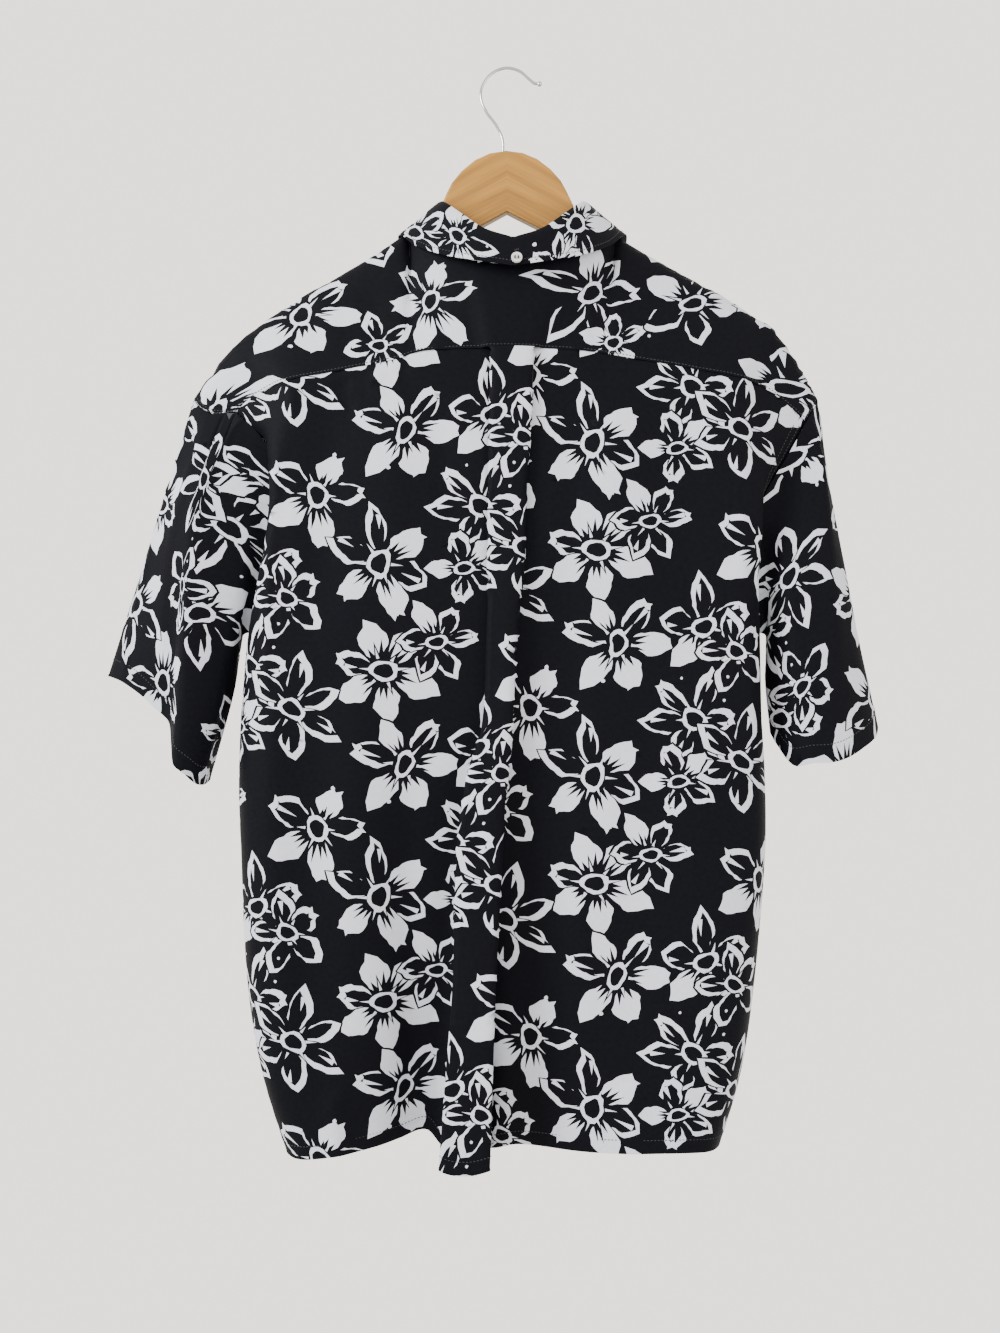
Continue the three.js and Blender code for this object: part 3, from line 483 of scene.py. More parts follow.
def pleat_middle(z):
    def pleat(column):
        return read(PLEAT, "z", column, z)

    edges = read(LEFT, "z", "pleatX", z), -read(RIGHT, "z", "pleatX", z)
    face, inner, tuck = pleat("faceY"), pleat("innerY"), pleat("tuck")
    turn = (1 + LAYER_GAP) / 2

    def half(edge, sign):
        hidden = inner + 2 * turn
        return [
            vec(edge - sign * (tuck + turn), inner + turn, z),
            vec(edge - sign * tuck, hidden, z),
            vec(edge - sign * 2 * turn, mix(hidden, face - 2 * turn, 0.85), z),
            vec(edge, face - turn, z),
            vec(edge - sign * 1.5 * turn, face, z),
        ]

    crown = [vec(mix(*edges, t), face + 1.2, z) for t in (0.33, 0.67)]
    return [*half(edges[0], 1), *crown, *half(edges[1], -1)[::-1]]


LEVELS = np.arange(-236, -982, -6.0)
REFERENCE_X = 120  # where the flat cloth's b is the same as x


def back_surface(side):
    rows, sign = side["table"], side["sign"]
    curves = [back_side(rows, sign, z) for z in LEVELS]
    zeros = []
    for curve in curves:
        dense = np.array(along(curve, spread(210)))
        run = arcs(dense)
        place = np.argmax(np.abs(dense[:, 0]) < REFERENCE_X)
        zeros.append(run[place] + REFERENCE_X)
    return surface(curves, LEVELS, zeros, sign=-sign, count=90, fine=26)


def pleat_surface():
    curves = [pleat_middle(z) for z in LEVELS]
    zeros = [arcs(np.array(along(c, spread(120))))[-1] / 2 for c in curves]
    return surface(curves, LEVELS, zeros, sign=-1, count=110, fine=12)


TOP_GUESS = -280.0  # heights from which the search for a line starts
HEM_GUESS = -962.0


def on_line(s, line, guess, share, tries=5):
    """Where a share of a level surface's curves meets a line given as a function of x."""
    z = guess
    for _ in range(tries):
        k, _, _ = index_of(s, np.array([z]))
        z = line(at_index(s, k, np.array([share * (s["grid"].shape[1] - 1)]))[0][0])
    return z, float(flat_b(s, z, share))


def level_outline(s, top, bottom, count=80):
    """The edge of a surface of level curves, between two lines given as functions of x."""
    top_points = [on_line(s, top, TOP_GUESS, share) for share in spread(count)]
    bottom_points = [on_line(s, bottom, HEM_GUESS, share) for share in spread(count)]
    sides = []
    down = (1, top_points[-1][0], bottom_points[-1][0])
    up = (0, bottom_points[0][0], top_points[0][0])
    for share, first, last in (down, up):
        places = np.linspace(first, last, 150)[1:-1]
        sides.append([(z, float(flat_b(s, z, share))) for z in places])
    return top_points + sides[0] + bottom_points[::-1] + sides[1]


# Collar, yoke and fronts
def collar_point(sign, station, part):
    def at(axis):
        return read(COLLAR[part], "station", axis, station)

    return vec(COLLAR_MIDDLE + sign * at("x"), at("y"), at("z"))


def front_seam(side, c):
    sign, end = side["sign"], side["cap"][5]
    neck = collar_point(sign, SIDE_STATION, "neck")
    fallen = max(FRONT_SEAM["least"], step(c, 0, 0.3))
    out = mix(sign * neck[0] + NECK_CLEAR, end["x"], c)
    z = read(side["ridge"], "x", "z", out) - FRONT_SEAM["drop"] * fallen
    close = step(c, 0.7, 1)
    return vec(sign * out, mix(-FRONT_SEAM["forward"] * fallen, end["y"], close), mix(z, end["z"], close))


def shoulder_column(side, a, c):
    sign, cap = side["sign"], side["cap"]
    corner = collar_point(sign, SIDE_STATION, "neck")
    ridge_out = mix(sign * corner[0] + NECK_CLEAR, cap[3]["x"], c)
    top = vec(sign * ridge_out, 0, read(side["ridge"], "x", "z", ridge_out))
    f = front_seam(side, c)
    out, drop = OVER_ARM["out"], OVER_ARM["drop"]
    behind = vec(mix(top[0], a[0], 0.06), out, top[2] - drop)
    middle = vec(mix(top[0], a[0], 0.5), mix(out, a[1], 0.62), mix(top[2] - drop, a[2], 0.5))
    fallen = step(c, 0, 0.3)
    forward = max(min(1, 0.5 * (f[1] / -out)), fallen)
    ahead = vec(mix(top[0], f[0], 0.3), -out * forward, top[2] - drop * fallen)
    close = step(c, 0.75, 1)
    capped = [vec(sign * p["x"], p["y"], p["z"]) for p in cap]
    return [mix(p, q, close) for p, q in zip([a, middle, behind, top, ahead, f], capped)]


def neck_column(side, a, n):
    end = collar_point(side["sign"], SIDE_STATION * (1 - n), "neck")
    middle = mix(a, end, 0.5) + vec(0, 1.5, 0)
    return [a, middle, end]


YOKE_CORNER_X = 92  # where the yoke's columns turn from the shoulder to the neck
YOKE_COLUMNS = {"shoulder": 28, "neck": 18}
YOKE_ROWS = 46
YOKE_LEVEL = -265  # the height at which the yoke's b is 0


def yoke_seam_point(x):
    """A point of the seam between yoke and back, at an x."""
    z = read(YOKE_SEAM, "x", "z", x)
    side = SIDES["left" if x > 0 else "right"]
    section = np.array(along(back_side(side["table"], side["sign"], z), spread(120)))
    pleat_x = read(side["table"], "z", "pleatX", z)
    if abs(x) < pleat_x + 4:
        return vec(x, read(PLEAT, "z", "faceY", z) - 1, z)
    order = np.argsort(np.abs(section[:, 0]))
    xs = np.abs(section[order, 0])
    return vec(x, np.interp(abs(x), xs, section[order, 1]), z)


def yoke_surface():
    """The yoke's columns, from the back seam over the shoulder or up to the neck."""
    columns, keys, zeros = [], [], []
    for name in ("left", "right"):
        side = SIDES[name]
        sign, cap = side["sign"], side["cap"]
        corner = sign * YOKE_CORNER_X
        outer = cap[0]["x"]
        for share in np.linspace(1, 0, YOKE_COLUMNS["shoulder"]):
            x = sign * mix(YOKE_CORNER_X, outer, share)
            a = yoke_seam_point(x)
            a = mix(a, vec(sign * cap[0]["x"], cap[0]["y"], cap[0]["z"]), step(share, 0.8, 1))
            columns.append(along(shoulder_column(side, a, share), spread(YOKE_ROWS)))
            keys.append(x)
            zeros.append(YOKE_LEVEL - a[2])
        for share in np.linspace(0, 1, YOKE_COLUMNS["neck"])[1:]:
            x = mix(corner, COLLAR_MIDDLE, share)
            if name == "right" and share == 1:
                continue
            a = yoke_seam_point(x)
            columns.append(along(neck_column(side, a, share), spread(YOKE_ROWS)))
            keys.append(x)
            zeros.append(YOKE_LEVEL - a[2])
    order = np.argsort(keys)
    chosen = [columns[i] for i in order]
    levels = [zeros[i] for i in order]
    return surface(chosen, np.array(keys)[order], levels, count=YOKE_ROWS, fine=2)


FRONT_COLUMNS = 28
FRONT_ROWS = 34
UNDER_LAP = 1.7  # how far the right front lies behind the left


def front_section(side, z):
    sign, rows = side["sign"], side["table"]

    def at(column):
        return read(rows, "z", column, z)

    def front(column):
        return -read(FRONT, "z", column, z)

    fold = at("foldX")
    wave = FRONT_WAVE["height"] * step(-z, 350, 800)
    lap_x = FRONT_CENTRE + PLACKET_WIDTH / 2
    edge = lap_x if sign > 0 else -lap_x + PLACKET_WIDTH
    under = 0 if sign > 0 else UNDER_LAP
    centre = front("centreY")
    across = FRONT_WAVE["across"]
    points = [
        vec(sign * at("endX"), -at("endY"), z),
        vec(sign * fold, -at("foldY"), z),
        vec(sign * (fold - FOLD_TURN["in"]), mix(-at("foldY"), front("flankY"), FOLD_TURN["deep"]), z),
        vec(sign * (fold - 60), front("flankY") + wave, z),
        vec(sign * across, mix(front("flankY"), centre, 0.6) - wave, z),
        vec(sign * 50, centre + wave * 0.8, z),
        vec(edge if sign > 0 else -24, centre + (0 if sign > 0 else under), z),
    ]
    laps = (FRONT_CENTRE, FRONT_CENTRE - PLACKET_WIDTH / 2) if sign > 0 else (FRONT_CENTRE - 5, lap_x)
    return along(points, spread(FRONT_COLUMNS)) + [vec(x, centre + under, z) for x in laps]


def front_neck(x):
    rows = []
    for station in (5, 6, 7, 8):
        for sign in (1, -1):
            p = collar_point(sign, station, "neck")
            rows.append({"x": p[0], "y": p[1], "z": p[2]})
    rows.sort(key=lambda row: row["x"])
    return vec(x, read(rows, "x", "y", x), read(rows, "x", "z", x))


def front_surface(name):
    """The columns of a front, from the shoulder seam or the neck down to the hem."""
    side = SIDES[name]
    sign = side["sign"]
    first = front_section(side, UNDERARM_Z)
    neck_at = next(j for j, p in enumerate(first) if sign * p[0] < YOKE_CORNER_X)
    under = 0 if sign > 0 else UNDER_LAP
    columns = []
    start_x = sign * first[0][0]
    neck_x = sign * first[neck_at][0]
    for j, p in enumerate(first):
        x = sign * p[0]
        if j <= neck_at:
            top = front_seam(side, (x - neck_x) / (start_x - neck_x))
        else:
            share = min((j - neck_at) / (FRONT_COLUMNS - 1 - neck_at), 1)
            line_x = collar_point(sign, mix(SIDE_STATION, FRONT_STATION, share), "neck")[0]
            top = front_neck(line_x if j < FRONT_COLUMNS - 1 else p[0])
            top[1] += under * (1 - step(sign * top[0], 24, 50))
        above = front_section(side, top[2])[j]
        near_neck = 1 - step(abs(abs(top[0]) - FRONT_SETTLE["neckX"]), 15, 45)
        settle = mix(FRONT_SETTLE["down"], FRONT_SETTLE["byNeck"], near_neck)
        column = []
        for t in spread(FRONT_ROWS) ** 1.5:
            z = mix(top[2], FRONT_HEM_Z, t)
            point = front_section(side, z)[j]
            fallen = top[2] - z
            point[0] += (top[0] - above[0]) * (1 - step(fallen, 0, FRONT_SETTLE["down"]))
            point[1] += (top[1] - above[1]) * (1 - step(fallen, 0, settle))
            point[2] = z
            column.append(point)
        columns.append(column)
    run = arcs(np.array(first))
    keys = first[-1][0] + sign * (run[-1] - run)
    order = np.argsort(keys)
    chosen = [columns[i] for i in order]
    return surface(chosen, keys[order], ["end"] * len(order), sign=-1, count=110, fine=4)


def collar_out(sign, station, part):
    near = 0.05
    a = collar_point(sign, max(station - near, 0), part)
    b = collar_point(sign, min(station + near, FRONT_STATION), part)
    run = b - a
    run[2] = 0
    run /= np.linalg.norm(run)
    return vec(0, 1, 0) if station == 0 else vec(sign * -run[1], sign * run[0], 0)


def collar_stations(count=36):
    half = [FRONT_STATION * (1 - i / count) for i in range(count)]
    return [(1, s) for s in half] + [(1, 0)] + [(-1, s) for s in half[::-1]]


def stand_surface():
    columns = []
    for sign, station in collar_stations():
        neck, fold = (collar_point(sign, station, part) for part in ("neck", "fold"))
        out = collar_out(sign, station, "fold")
        columns.append([mix(fold, neck, t) + out * math.sin(math.pi * t) for t in spread(8)])
    return surface(columns, edge_keys([c[0] for c in columns]), ["start"] * len(columns), count=24)


LEAF_PLACES = (0, 0.015, 0.04, 0.08, 0.14, 0.3, 0.5, 0.75, 1)  # down the leaf, close at its fold


def leaf_surface():
    columns = []
    for sign, station in collar_stations():
        out = collar_out(sign, station, "fold")
        fold, edge = (collar_point(sign, station, part) for part in ("fold", "edge"))
        column = []
        for t in LEAF_PLACES:
            rolled = mix(-0.1, 1, math.sqrt(min(t / 0.11, 1)))
            point = mix(fold, edge, t) + out * rolled * LEAF_LIFT
            column.append(point + vec(0, 0, LEAF_RISE))
        columns.append(column)
    return surface(columns, edge_keys([c[4] for c in columns]), ["start"] * len(columns), count=40)


def edge_keys(points):
    run = arcs(np.array(points))
    return run - run[-1] / 2


def sleeve_lines(lines, side):
    """A sleeve's lines with one more between each two. In the fold a line starts on the body's edge."""
    sign = side["sign"]
    rows = side["table"]

    def point(place):
        return vec(sign * place[0], place[2], -place[1])

    parts = ("seam", "mid", "hem")
    count = len(lines)
    halves = [(k + 0.5) / count for k in range(count)]
    between = {part: along([point(line[part]) for line in lines], halves, True) for part in parts}
    found = []
    for k, line in enumerate(lines):
        found.append([point(line[part]) for part in parts])
        extra = [between[part][k] for part in parts]
        other = lines[(k + 1) % count]
        if min(line["seam"][1], other["seam"][1]) >= -side["cap"][0]["z"]:
            z = -(line["seam"][1] + other["seam"][1]) / 2
            front = np.sign(line["seam"][2] + other["seam"][2])
            extra[0] = vec(sign * read(rows, "z", "endX", z), front * read(rows, "z", "endY", z), z)
        found.append(extra)
    return found


def sleeve_surface(lines, side, under):
    """A sleeve's lines round the tube. under is the place of the underarm line in the table."""
    sign = side["sign"]
    columns = []
    for seam, middle, hem in sleeve_lines(lines, side):
        in_fold = step(-seam[2], 305, 330)
        straight = (middle - seam) / np.linalg.norm(middle - seam)
        leave = mix(straight, vec(sign, 0, -0.35), in_fold)
        leave /= np.linalg.norm(leave)
        clear = SEAM_GAP + SLEEVE_START * max(in_fold, 0.25)
        columns.append([seam + leave * clear, seam + leave * SLEEVE_LEAVE, middle, hem])
    turn = 2 * under
    columns = columns[turn:] + columns[:turn]
    top, way = sleeve_axis(sign)
    hems = np.array([c[3] for c in columns] + [columns[0][3]])
    hems = hems - ((hems - top) @ way)[:, None] * way
    zeros = [-float((c[0] - top) @ way) for c in columns]
    return surface(columns, arcs(hems), zeros, count=60, closed=True, fine=20)


SLEEVE_TOP = (236, 0, -400)
SLEEVE_END = (308, -4, -590)


def sleeve_axis(sign):
    """A point in the armhole and the way from it down the sleeve."""
    mirror = vec(sign, 1, 1)
    top, end = vec(*SLEEVE_TOP) * mirror, vec(*SLEEVE_END) * mirror
    return top, (end - top) / np.linalg.norm(end - top)


# The print: flowers drawn as flat shapes in cloth millimetres, painted over one another in order
PRINT_STEP_ACROSS = (-205, -151)  # from one column of the repeat to the next
PRINT_STEP_DOWN = (0, -290)
PRINT_REPEATS = range(-6, 7)
PRINT_MARGIN = 52  # how far outside a piece the middle of a flower may lie
BLACK, WHITE = 0.0, 1.0
CORE = 0.27  # the ring's radius as a share of its flower's
RING_EDGE = 1.2  # the dark round under the ring, as a share of the ring
RING_HOLE = 0.68
RING_TICKS = 6
DARK_PETALS = {"dark": 0.85, "mixed": 0.6, "white": 0.35}  # the chance of a petal that is only an outline
FLOWER = "x z radius petals turn kind"
FLOWERS = table(
    FLOWER,
    (90, -332, 47, 6, 10, "mixed"),
    (166, -388, 44, 5, 40, "mixed"),
    (112, -448, 47, 6, 75, "white"),
    (193, -478, 36, 5, 5, "dark"),
    (109, -541, 48, 6, 20, "white"),
    (62, -516, 37, 6, 60, "dark"),
    (188, -574, 45, 6, 35, "mixed"),
    (14, -318, 43, 5, 15, "mixed"),
    (24, -398, 42, 6, 50, "dark"),
    (38, -452, 35, 5, 0, "white"),
)
YOKE_FLOWERS = table(
    FLOWER,
    (168, -222, 44, 6, 20, "mixed"),
    (60, -216, 44, 6, 50, "white"),
    (-62, -208, 47, 6, 5, "dark"),
    (-158, -214, 46, 5, 35, "white"),
    (8, -158, 30, 5, 60, "dark"),
    (-92, -254, 30, 5, 15, "mixed"),
    (112, -256, 30, 5, 70, "dark"),
    (232, -290, 40, 6, 0, "white"),
    (252, -215, 36, 5, 10, "dark"),
    (-238, -285, 42, 6, 25, "white"),
    (-222, -200, 36, 5, 50, "mixed"),
    (200, -130, 42, 6, 5, "white"),
    (120, -140, 40, 5, 30, "dark"),
    (-130, -135, 40, 6, 45, "mixed"),
    (-205, -120, 42, 6, 15, "white"),
)
LEAF_FLOWERS = table(
    FLOWER,
    (236, 12, 36, 6, 10, "white"),
    (178, 34, 38, 5, 40, "mixed"),
    (112, 8, 38, 6, 0, "dark"),
    (64, 16, 40, 6, 30, "white"),
    (34, 42, 28, 5, 5, "dark"),
    (-52, 22, 36, 6, 50, "mixed"),
    (-92, 40, 34, 5, 20, "white"),
    (-150, 14, 38, 6, 60, "dark"),
    (-212, 30, 38, 6, 15, "mixed"),
)


def polar(centre, radius, angle):
    return (centre[0] + radius * math.cos(angle), centre[1] + radius * math.sin(angle))


def petal_outline(centre, angle, start, length, width, tip, seed, count=9):
    """One petal: narrow at its base, widest past its middle, with a pointed or a notched end."""
    left, right = [], []
    for i in range(count):
        t = i / (count - 1)
        half = width * math.sin(math.pi * (0.1 + 0.77 * t)) ** 0.85
        wave = 1 + 0.1 * math.sin(8 * t + seed) + 0.05 * math.sin(17 * t + 2 * seed)
        reach = start + (length - start) * t
        along_it = (math.cos(angle), math.sin(angle))
        for points, side in ((left, 1), (right, -1)):
            off = side * half * (wave if side > 0 else 2 - wave)
            x = centre[0] + along_it[0] * reach - along_it[1] * off
            y = centre[1] + along_it[1] * reach + along_it[0] * off
            points.append((x, y))
    if math.sin(5 * seed) > 0.25:
        turn = 0.42 * width / length
        end = [polar(centre, length + tip, angle + turn), polar(centre, length, angle)]
        end.append(polar(centre, length + tip * 0.8, angle - turn))
    else:
        end = [polar(centre, length + tip * 1.5, angle + 0.06 * math.sin(seed))]
    return left + end + right[::-1]


def streak(centre, angle, start, length, width):
    """A thin triangle that runs from a base to a point."""
    along_it = (math.cos(angle), math.sin(angle))
    base = polar(centre, start, angle)
    low = (base[0] - along_it[1] * width / 2, base[1] + along_it[0] * width / 2)
    high = (base[0] + along_it[1] * width / 2, base[1] - along_it[0] * width / 2)
    return [low, polar(centre, start + length, angle), high]


def blob(centre, radius, seed, count=16, rough=0.08, squeeze=1.0, lean=0.0):
    """A rough round or oval. lean is the way of its long axis."""
    points = []
    for i in range(count):
        turn = 2 * math.pi * i / count
        r = radius * (1 + rough * math.sin(3 * turn + seed) + rough * 0.6 * math.sin(5 * turn + 2 * seed))
        x, y = r * math.cos(turn), r * squeeze * math.sin(turn)
        points.append((
            centre[0] + x * math.cos(lean) - y * math.sin(lean),
            centre[1] + x * math.sin(lean) + y * math.cos(lean),
        ))
    return points


def petal_shapes(centre, angle, core, length, width, dark, rng):
    """One petal: white with dark teeth at its base, or dark inside a white outline."""
    seed = rng.uniform(0, 6)
    tip = length * rng.uniform(0.04, 0.13)
    place = (centre, angle)
    shapes = [
        (BLACK, petal_outline(*place, core, length + 1.8, width + 1.5, tip, seed)),
        (WHITE, petal_outline(*place, core, length, width, tip, seed)),
    ]
    if not dark:
        for k in range(3):
            bend = angle + (k - 1) * 0.24 + rng.uniform(-0.05, 0.05)
            reach = (length - core) * rng.uniform(0.3, 0.62)
            shapes.append((BLACK, streak(centre, bend, core - 1, reach, width * 0.42)))
        return shapes
    thick = rng.uniform(2.2, 3.4)
    shift = angle + rng.choice((-1, 1)) * rng.uniform(0.03, 0.08)
    inner = petal_outline(centre, shift, core - 2, length - thick * 1.7, width - thick, tip * 0.8, seed)
    shapes.append((BLACK, inner))
    if rng.random() < 0.6:
        reach = (length - core) * rng.uniform(0.35, 0.6)
        bend = shift + rng.uniform(-0.14, 0.14)
        shapes.append((WHITE, streak(centre, bend, length - thick * 1.7, -reach, 4.5)))
    return shapes


def flower_shapes(centre, radius, petals, turn, kind, rng):
    """A flower as (ink, outline) pairs, from the lowest to the highest."""
    shapes = []
    core = radius * CORE
    for i in range(petals):
        angle = math.radians(turn) + 2 * math.pi * i / petals + rng.uniform(-0.17, 0.17)
        length = radius * rng.uniform(0.8, 1.02)
        width = radius * rng.uniform(0.19, 0.27) * (6 / petals) ** 0.7
        dark = rng.random() < DARK_PETALS[kind]
        shapes += petal_shapes(centre, angle, core, length, width, dark, rng)
    oval = {"squeeze": rng.uniform(0.55, 0.85), "lean": rng.uniform(0, math.pi)}
    shapes.append((BLACK, blob(centre, core * RING_EDGE, turn, **oval)))
    shapes.append((WHITE, blob(centre, core, turn, **oval)))
    shapes.append((BLACK, blob(centre, core * RING_HOLE, turn + 1, **oval)))
    for i in range(RING_TICKS):
        angle = 2 * math.pi * i / RING_TICKS + rng.uniform(-0.25, 0.25)
        reach = core * rng.uniform(0.5, 0.9)
        shapes.append((WHITE, streak(centre, angle, core * 0.85, reach, core * 0.2)))
    dot = polar(centre, radius * rng.uniform(0.6, 1.15), rng.uniform(0, 6.28))
    shapes.append((WHITE, blob(dot, rng.uniform(0.9, 2), turn, count=7)))
    return shapes


def print_shapes(low, high, shift, flowers=None):
    """The print over a rectangle of flat cloth, moved by shift, or only the flowers given."""
    shapes = []
    steps = [(0, 0)] if flowers else [(i, j) for i in PRINT_REPEATS for j in PRINT_REPEATS]
    west, east = low[0] - PRINT_MARGIN, high[0] + PRINT_MARGIN
    south, north = low[1] - PRINT_MARGIN, high[1] + PRINT_MARGIN
    for column, row in steps:
        for number, flower in enumerate(flowers or FLOWERS):
            x = flower["x"] + column * PRINT_STEP_ACROSS[0] + row * PRINT_STEP_DOWN[0] + shift[0]
            z = flower["z"] + column * PRINT_STEP_ACROSS[1] + row * PRINT_STEP_DOWN[1] + shift[1]
            if not (west < x < east and south < z < north):
                continue
            detail = [flower[name] for name in ("radius", "petals", "turn", "kind")]
            shapes += flower_shapes((x, z), *detail, random.Random(number))
    return shapes


# Shells
def inside_polygon(points, polygon):
    """Which points lie in a polygon, for arrays of points."""
    x, y = points[:, 0], points[:, 1]
    px, py = polygon[:, 0], polygon[:, 1]
    inside = np.zeros(len(points), dtype=bool)
    for i in range(len(polygon)):
        j = i - 1
        crosses = (py[i] > y) != (py[j] > y)
        rise = (py[j] - py[i]) or 1e-12
        at = (px[j] - px[i]) * (y - py[i]) / rise + px[i]
        inside ^= crosses & (x < at)
    return inside


def ring_edges(first, count):
    return [(first + i, first + (i + 1) % count) for i in range(count)]


def printed_triangles(outline, shift, spacing, flowers):
    """Triangles of a flat outline, cut along the print's edges, and each one's ink."""
    outline = np.array(outline)
    low, high = outline.min(axis=0), outline.max(axis=0)
    across = np.arange(low[0] + spacing / 2, high[0], spacing)
    down = np.arange(low[1] + spacing / 2, high[1], spacing)
    lattice = np.array([(x, y) for x in across for y in down])
    lattice = lattice[inside_polygon(lattice, outline)]
    shapes = [(ink, np.array(shape)) for ink, shape in print_shapes(low, high, shift, flowers)]
    points = [Vector(p) for p in outline] + [Vector(p) for p in lattice]
    edges = ring_edges(0, len(outline))
    for _, shape in shapes:
        edges += ring_edges(len(points), len(shape))
        points += [Vector(p) for p in shape]
    verts, _, triangles, _, _, _ = delaunay_2d_cdt(points, edges, [], 0, 1e-4, False)
    flat = np.array([(v.x, v.y) for v in verts])
    chosen = np.array(triangles)
    middles = flat[chosen].mean(axis=1)
    kept = inside_polygon(middles, outline)
    chosen, middles = chosen[kept], middles[kept]
    order = np.argsort(middles[:, 0])
    sorted_x = middles[order, 0]
    ink = np.full(len(chosen), BLACK)
    for value, shape in shapes:
        start, stop = np.searchsorted(sorted_x, (shape[:, 0].min(), shape[:, 0].max()))
        near = order[start:stop]
        y = middles[near, 1]
        near = near[(y > shape[:, 1].min()) & (y < shape[:, 1].max())]
        if len(near):
            ink[near[inside_polygon(middles[near], shape)]] = value
    used, compact = np.unique(chosen, return_inverse=True)
    return flat[used], compact.reshape(chosen.shape), ink


def shell_mesh(name, outer, inner, flat, triangles, ink):
    """A closed shell between two layers of the same triangles."""
    count = len(outer)
    edges = np.concatenate((triangles[:, [0, 1]], triangles[:, [1, 2]], triangles[:, [2, 0]]))
    codes = edges[:, 0] * count + edges[:, 1]
    back = edges[:, 1] * count + edges[:, 0]
    rim = edges[~np.isin(codes, back)]
    owner = np.tile(np.arange(len(triangles)), 3)[~np.isin(codes, back)]
    under = triangles[:, ::-1] + count
    rim_a = np.stack((rim[:, 1], rim[:, 0], rim[:, 0] + count), axis=1)
    rim_b = np.stack((rim[:, 1], rim[:, 0] + count, rim[:, 1] + count), axis=1)
    faces = np.concatenate((triangles, under, rim_a, rim_b))
    inks = np.concatenate((ink, ink, ink[owner], ink[owner]))
    inner_side = np.concatenate((np.zeros(len(ink)), np.ones(len(ink)), np.zeros(2 * len(rim))))
    mesh = bpy.data.meshes.new(name)
    mesh.from_pydata((np.concatenate((outer, inner)) * MM).tolist(), [], faces.tolist())
    layer = mesh.attributes.new("ink", "FLOAT", "CORNER")
    layer.data.foreach_set("value", np.repeat(inks, 3).astype(np.float32))
    layer = mesh.attributes.new("inside", "FLOAT", "CORNER")
    layer.data.foreach_set("value", np.repeat(inner_side, 3).astype(np.float32))
    places = np.concatenate((flat, flat))[faces.reshape(-1)] * MM
    uv = mesh.uv_layers.new(name="cloth")
    uv.data.foreach_set("uv", places.astype(np.float32).reshape(-1))
    mesh.polygons.foreach_set("use_smooth", np.ones(len(faces), dtype=bool))
    sharp = np.zeros(len(mesh.edges), dtype=bool)
    ends = np.empty(len(mesh.edges) * 2, dtype=np.int64)
    mesh.edges.foreach_get("vertices", ends)
    ends = np.sort(ends.reshape(-1, 2), axis=1)
    rims = np.sort(np.concatenate((rim, rim + count)), axis=1)
    sharp[np.isin(ends[:, 0] * 2 * count + ends[:, 1], rims[:, 0] * 2 * count + rims[:, 1])] = True
    attribute = mesh.attributes.new("sharp_edge", "BOOLEAN", "EDGE")
    attribute.data.foreach_set("value", sharp)
    mesh.update()
    return mesh


def linked(name, data):
    """A new object in the scene."""
    obj = bpy.data.objects.new(name, data)
    bpy.context.scene.collection.objects.link(obj)
    return obj


def cloth_piece(name, s, outline, inside, shift, creases, level=False, spacing=None, flowers=None):
    """A printed piece of cloth on a surface. level tells that the surface's curves lie level."""
    outline = [(b, a) for a, b in outline] if level else outline
    flat, triangles, ink = printed_triangles(outline, shift, spacing or mesh_step(), flowers)
    a, b = (flat[:, 1], flat[:, 0]) if level else (flat[:, 0], flat[:, 1])
    points = sample(s, a, b)
    out = normals(s, a, b, inside)
    points = points + out * creases(flat, points)[:, None]
    p, q, r = (points[triangles[:, i]] for i in range(3))
    facing = np.sum(np.cross(q - p, r - p) * out[triangles[:, 0]], axis=1).sum()
    if facing < 0:
        triangles = triangles[:, ::-1]
    half = out * thickness() / 2
    mesh = shell_mesh(name, points + half, points - half, flat, triangles, ink)
    mesh.materials.append(print_cloth())
    obj = linked(name, mesh)
    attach(obj, "root")
    return obj


def surface_outline(s, first=0.0, last=1.0, count=110):
    """The whole edge of a surface, between two shares of its curves."""
    keys = np.linspace(s["keys"][0], s["keys"][-1], count)
    down = np.linspace(0, 1, 90)
    outline = [(a, float(flat_b(s, a, first))) for a in keys]
    outline += [(keys[-1], float(flat_b(s, keys[-1], mix(first, last, t)))) for t in down[1:-1]]
    outline += [(a, float(flat_b(s, a, last))) for a in keys[::-1]]
    outline += [(keys[0], float(flat_b(s, keys[0], mix(last, first, t)))) for t in down[1:-1]]
    return outline


# Creases: soft ridges (depth above 0) and troughs along lines of flat cloth, in millimetres
CREASE = "u0 v0 u1 v1 depth width"
BACK_LEFT_CREASES = table(
    CREASE,
    (198, -330, 214, -560, 2.4, 5),
    (150, -300, 172, -520, -3.3, 26),
    (92, -285, 100, -470, 1.8, 18),
    (120, -520, 134, -930, 3.3, 24),
    (165, -560, 172, -960, -3.0, 20),
    (205, -560, 196, -900, 2.4, 12),
    (90, -640, 78, -960, -3.0, 16),
    (60, -300, 52, -420, -1.5, 10),
    (140, -283, 143, -318, -2.0, 5),
    (112, -277, 114, -306, 1.8, 5),
    (88, -270, 88, -300, -1.5, 5),
    (186, -293, 190, -330, 1.8, 5),
    (150, -905, 152, -968, 3.3, 9),
)
BACK_RIGHT_CREASES = table(
    CREASE,
    (-206, -340, -216, -620, 2.4, 5),
    (-150, -300, -160, -560, -3.0, 26),
    (-96, -290, -104, -520, 2.1, 20),
    (-60, -300, -52, -700, -2.4, 16),
    (-176, -520, -172, -930, 3.0, 22),
    (-120, -560, -112, -950, -3.6, 22),
    (-70, -700, -60, -960, 3.0, 16),
    (-150, -281, -153, -322, -1.8, 5),
    (-120, -275, -121, -304, 1.7, 5),
    (-88, -270, -90, -296, -1.5, 5),
    (-186, -288, -190, -330, 1.8, 5),
    (-110, -900, -108, -962, 3.0, 10),
)
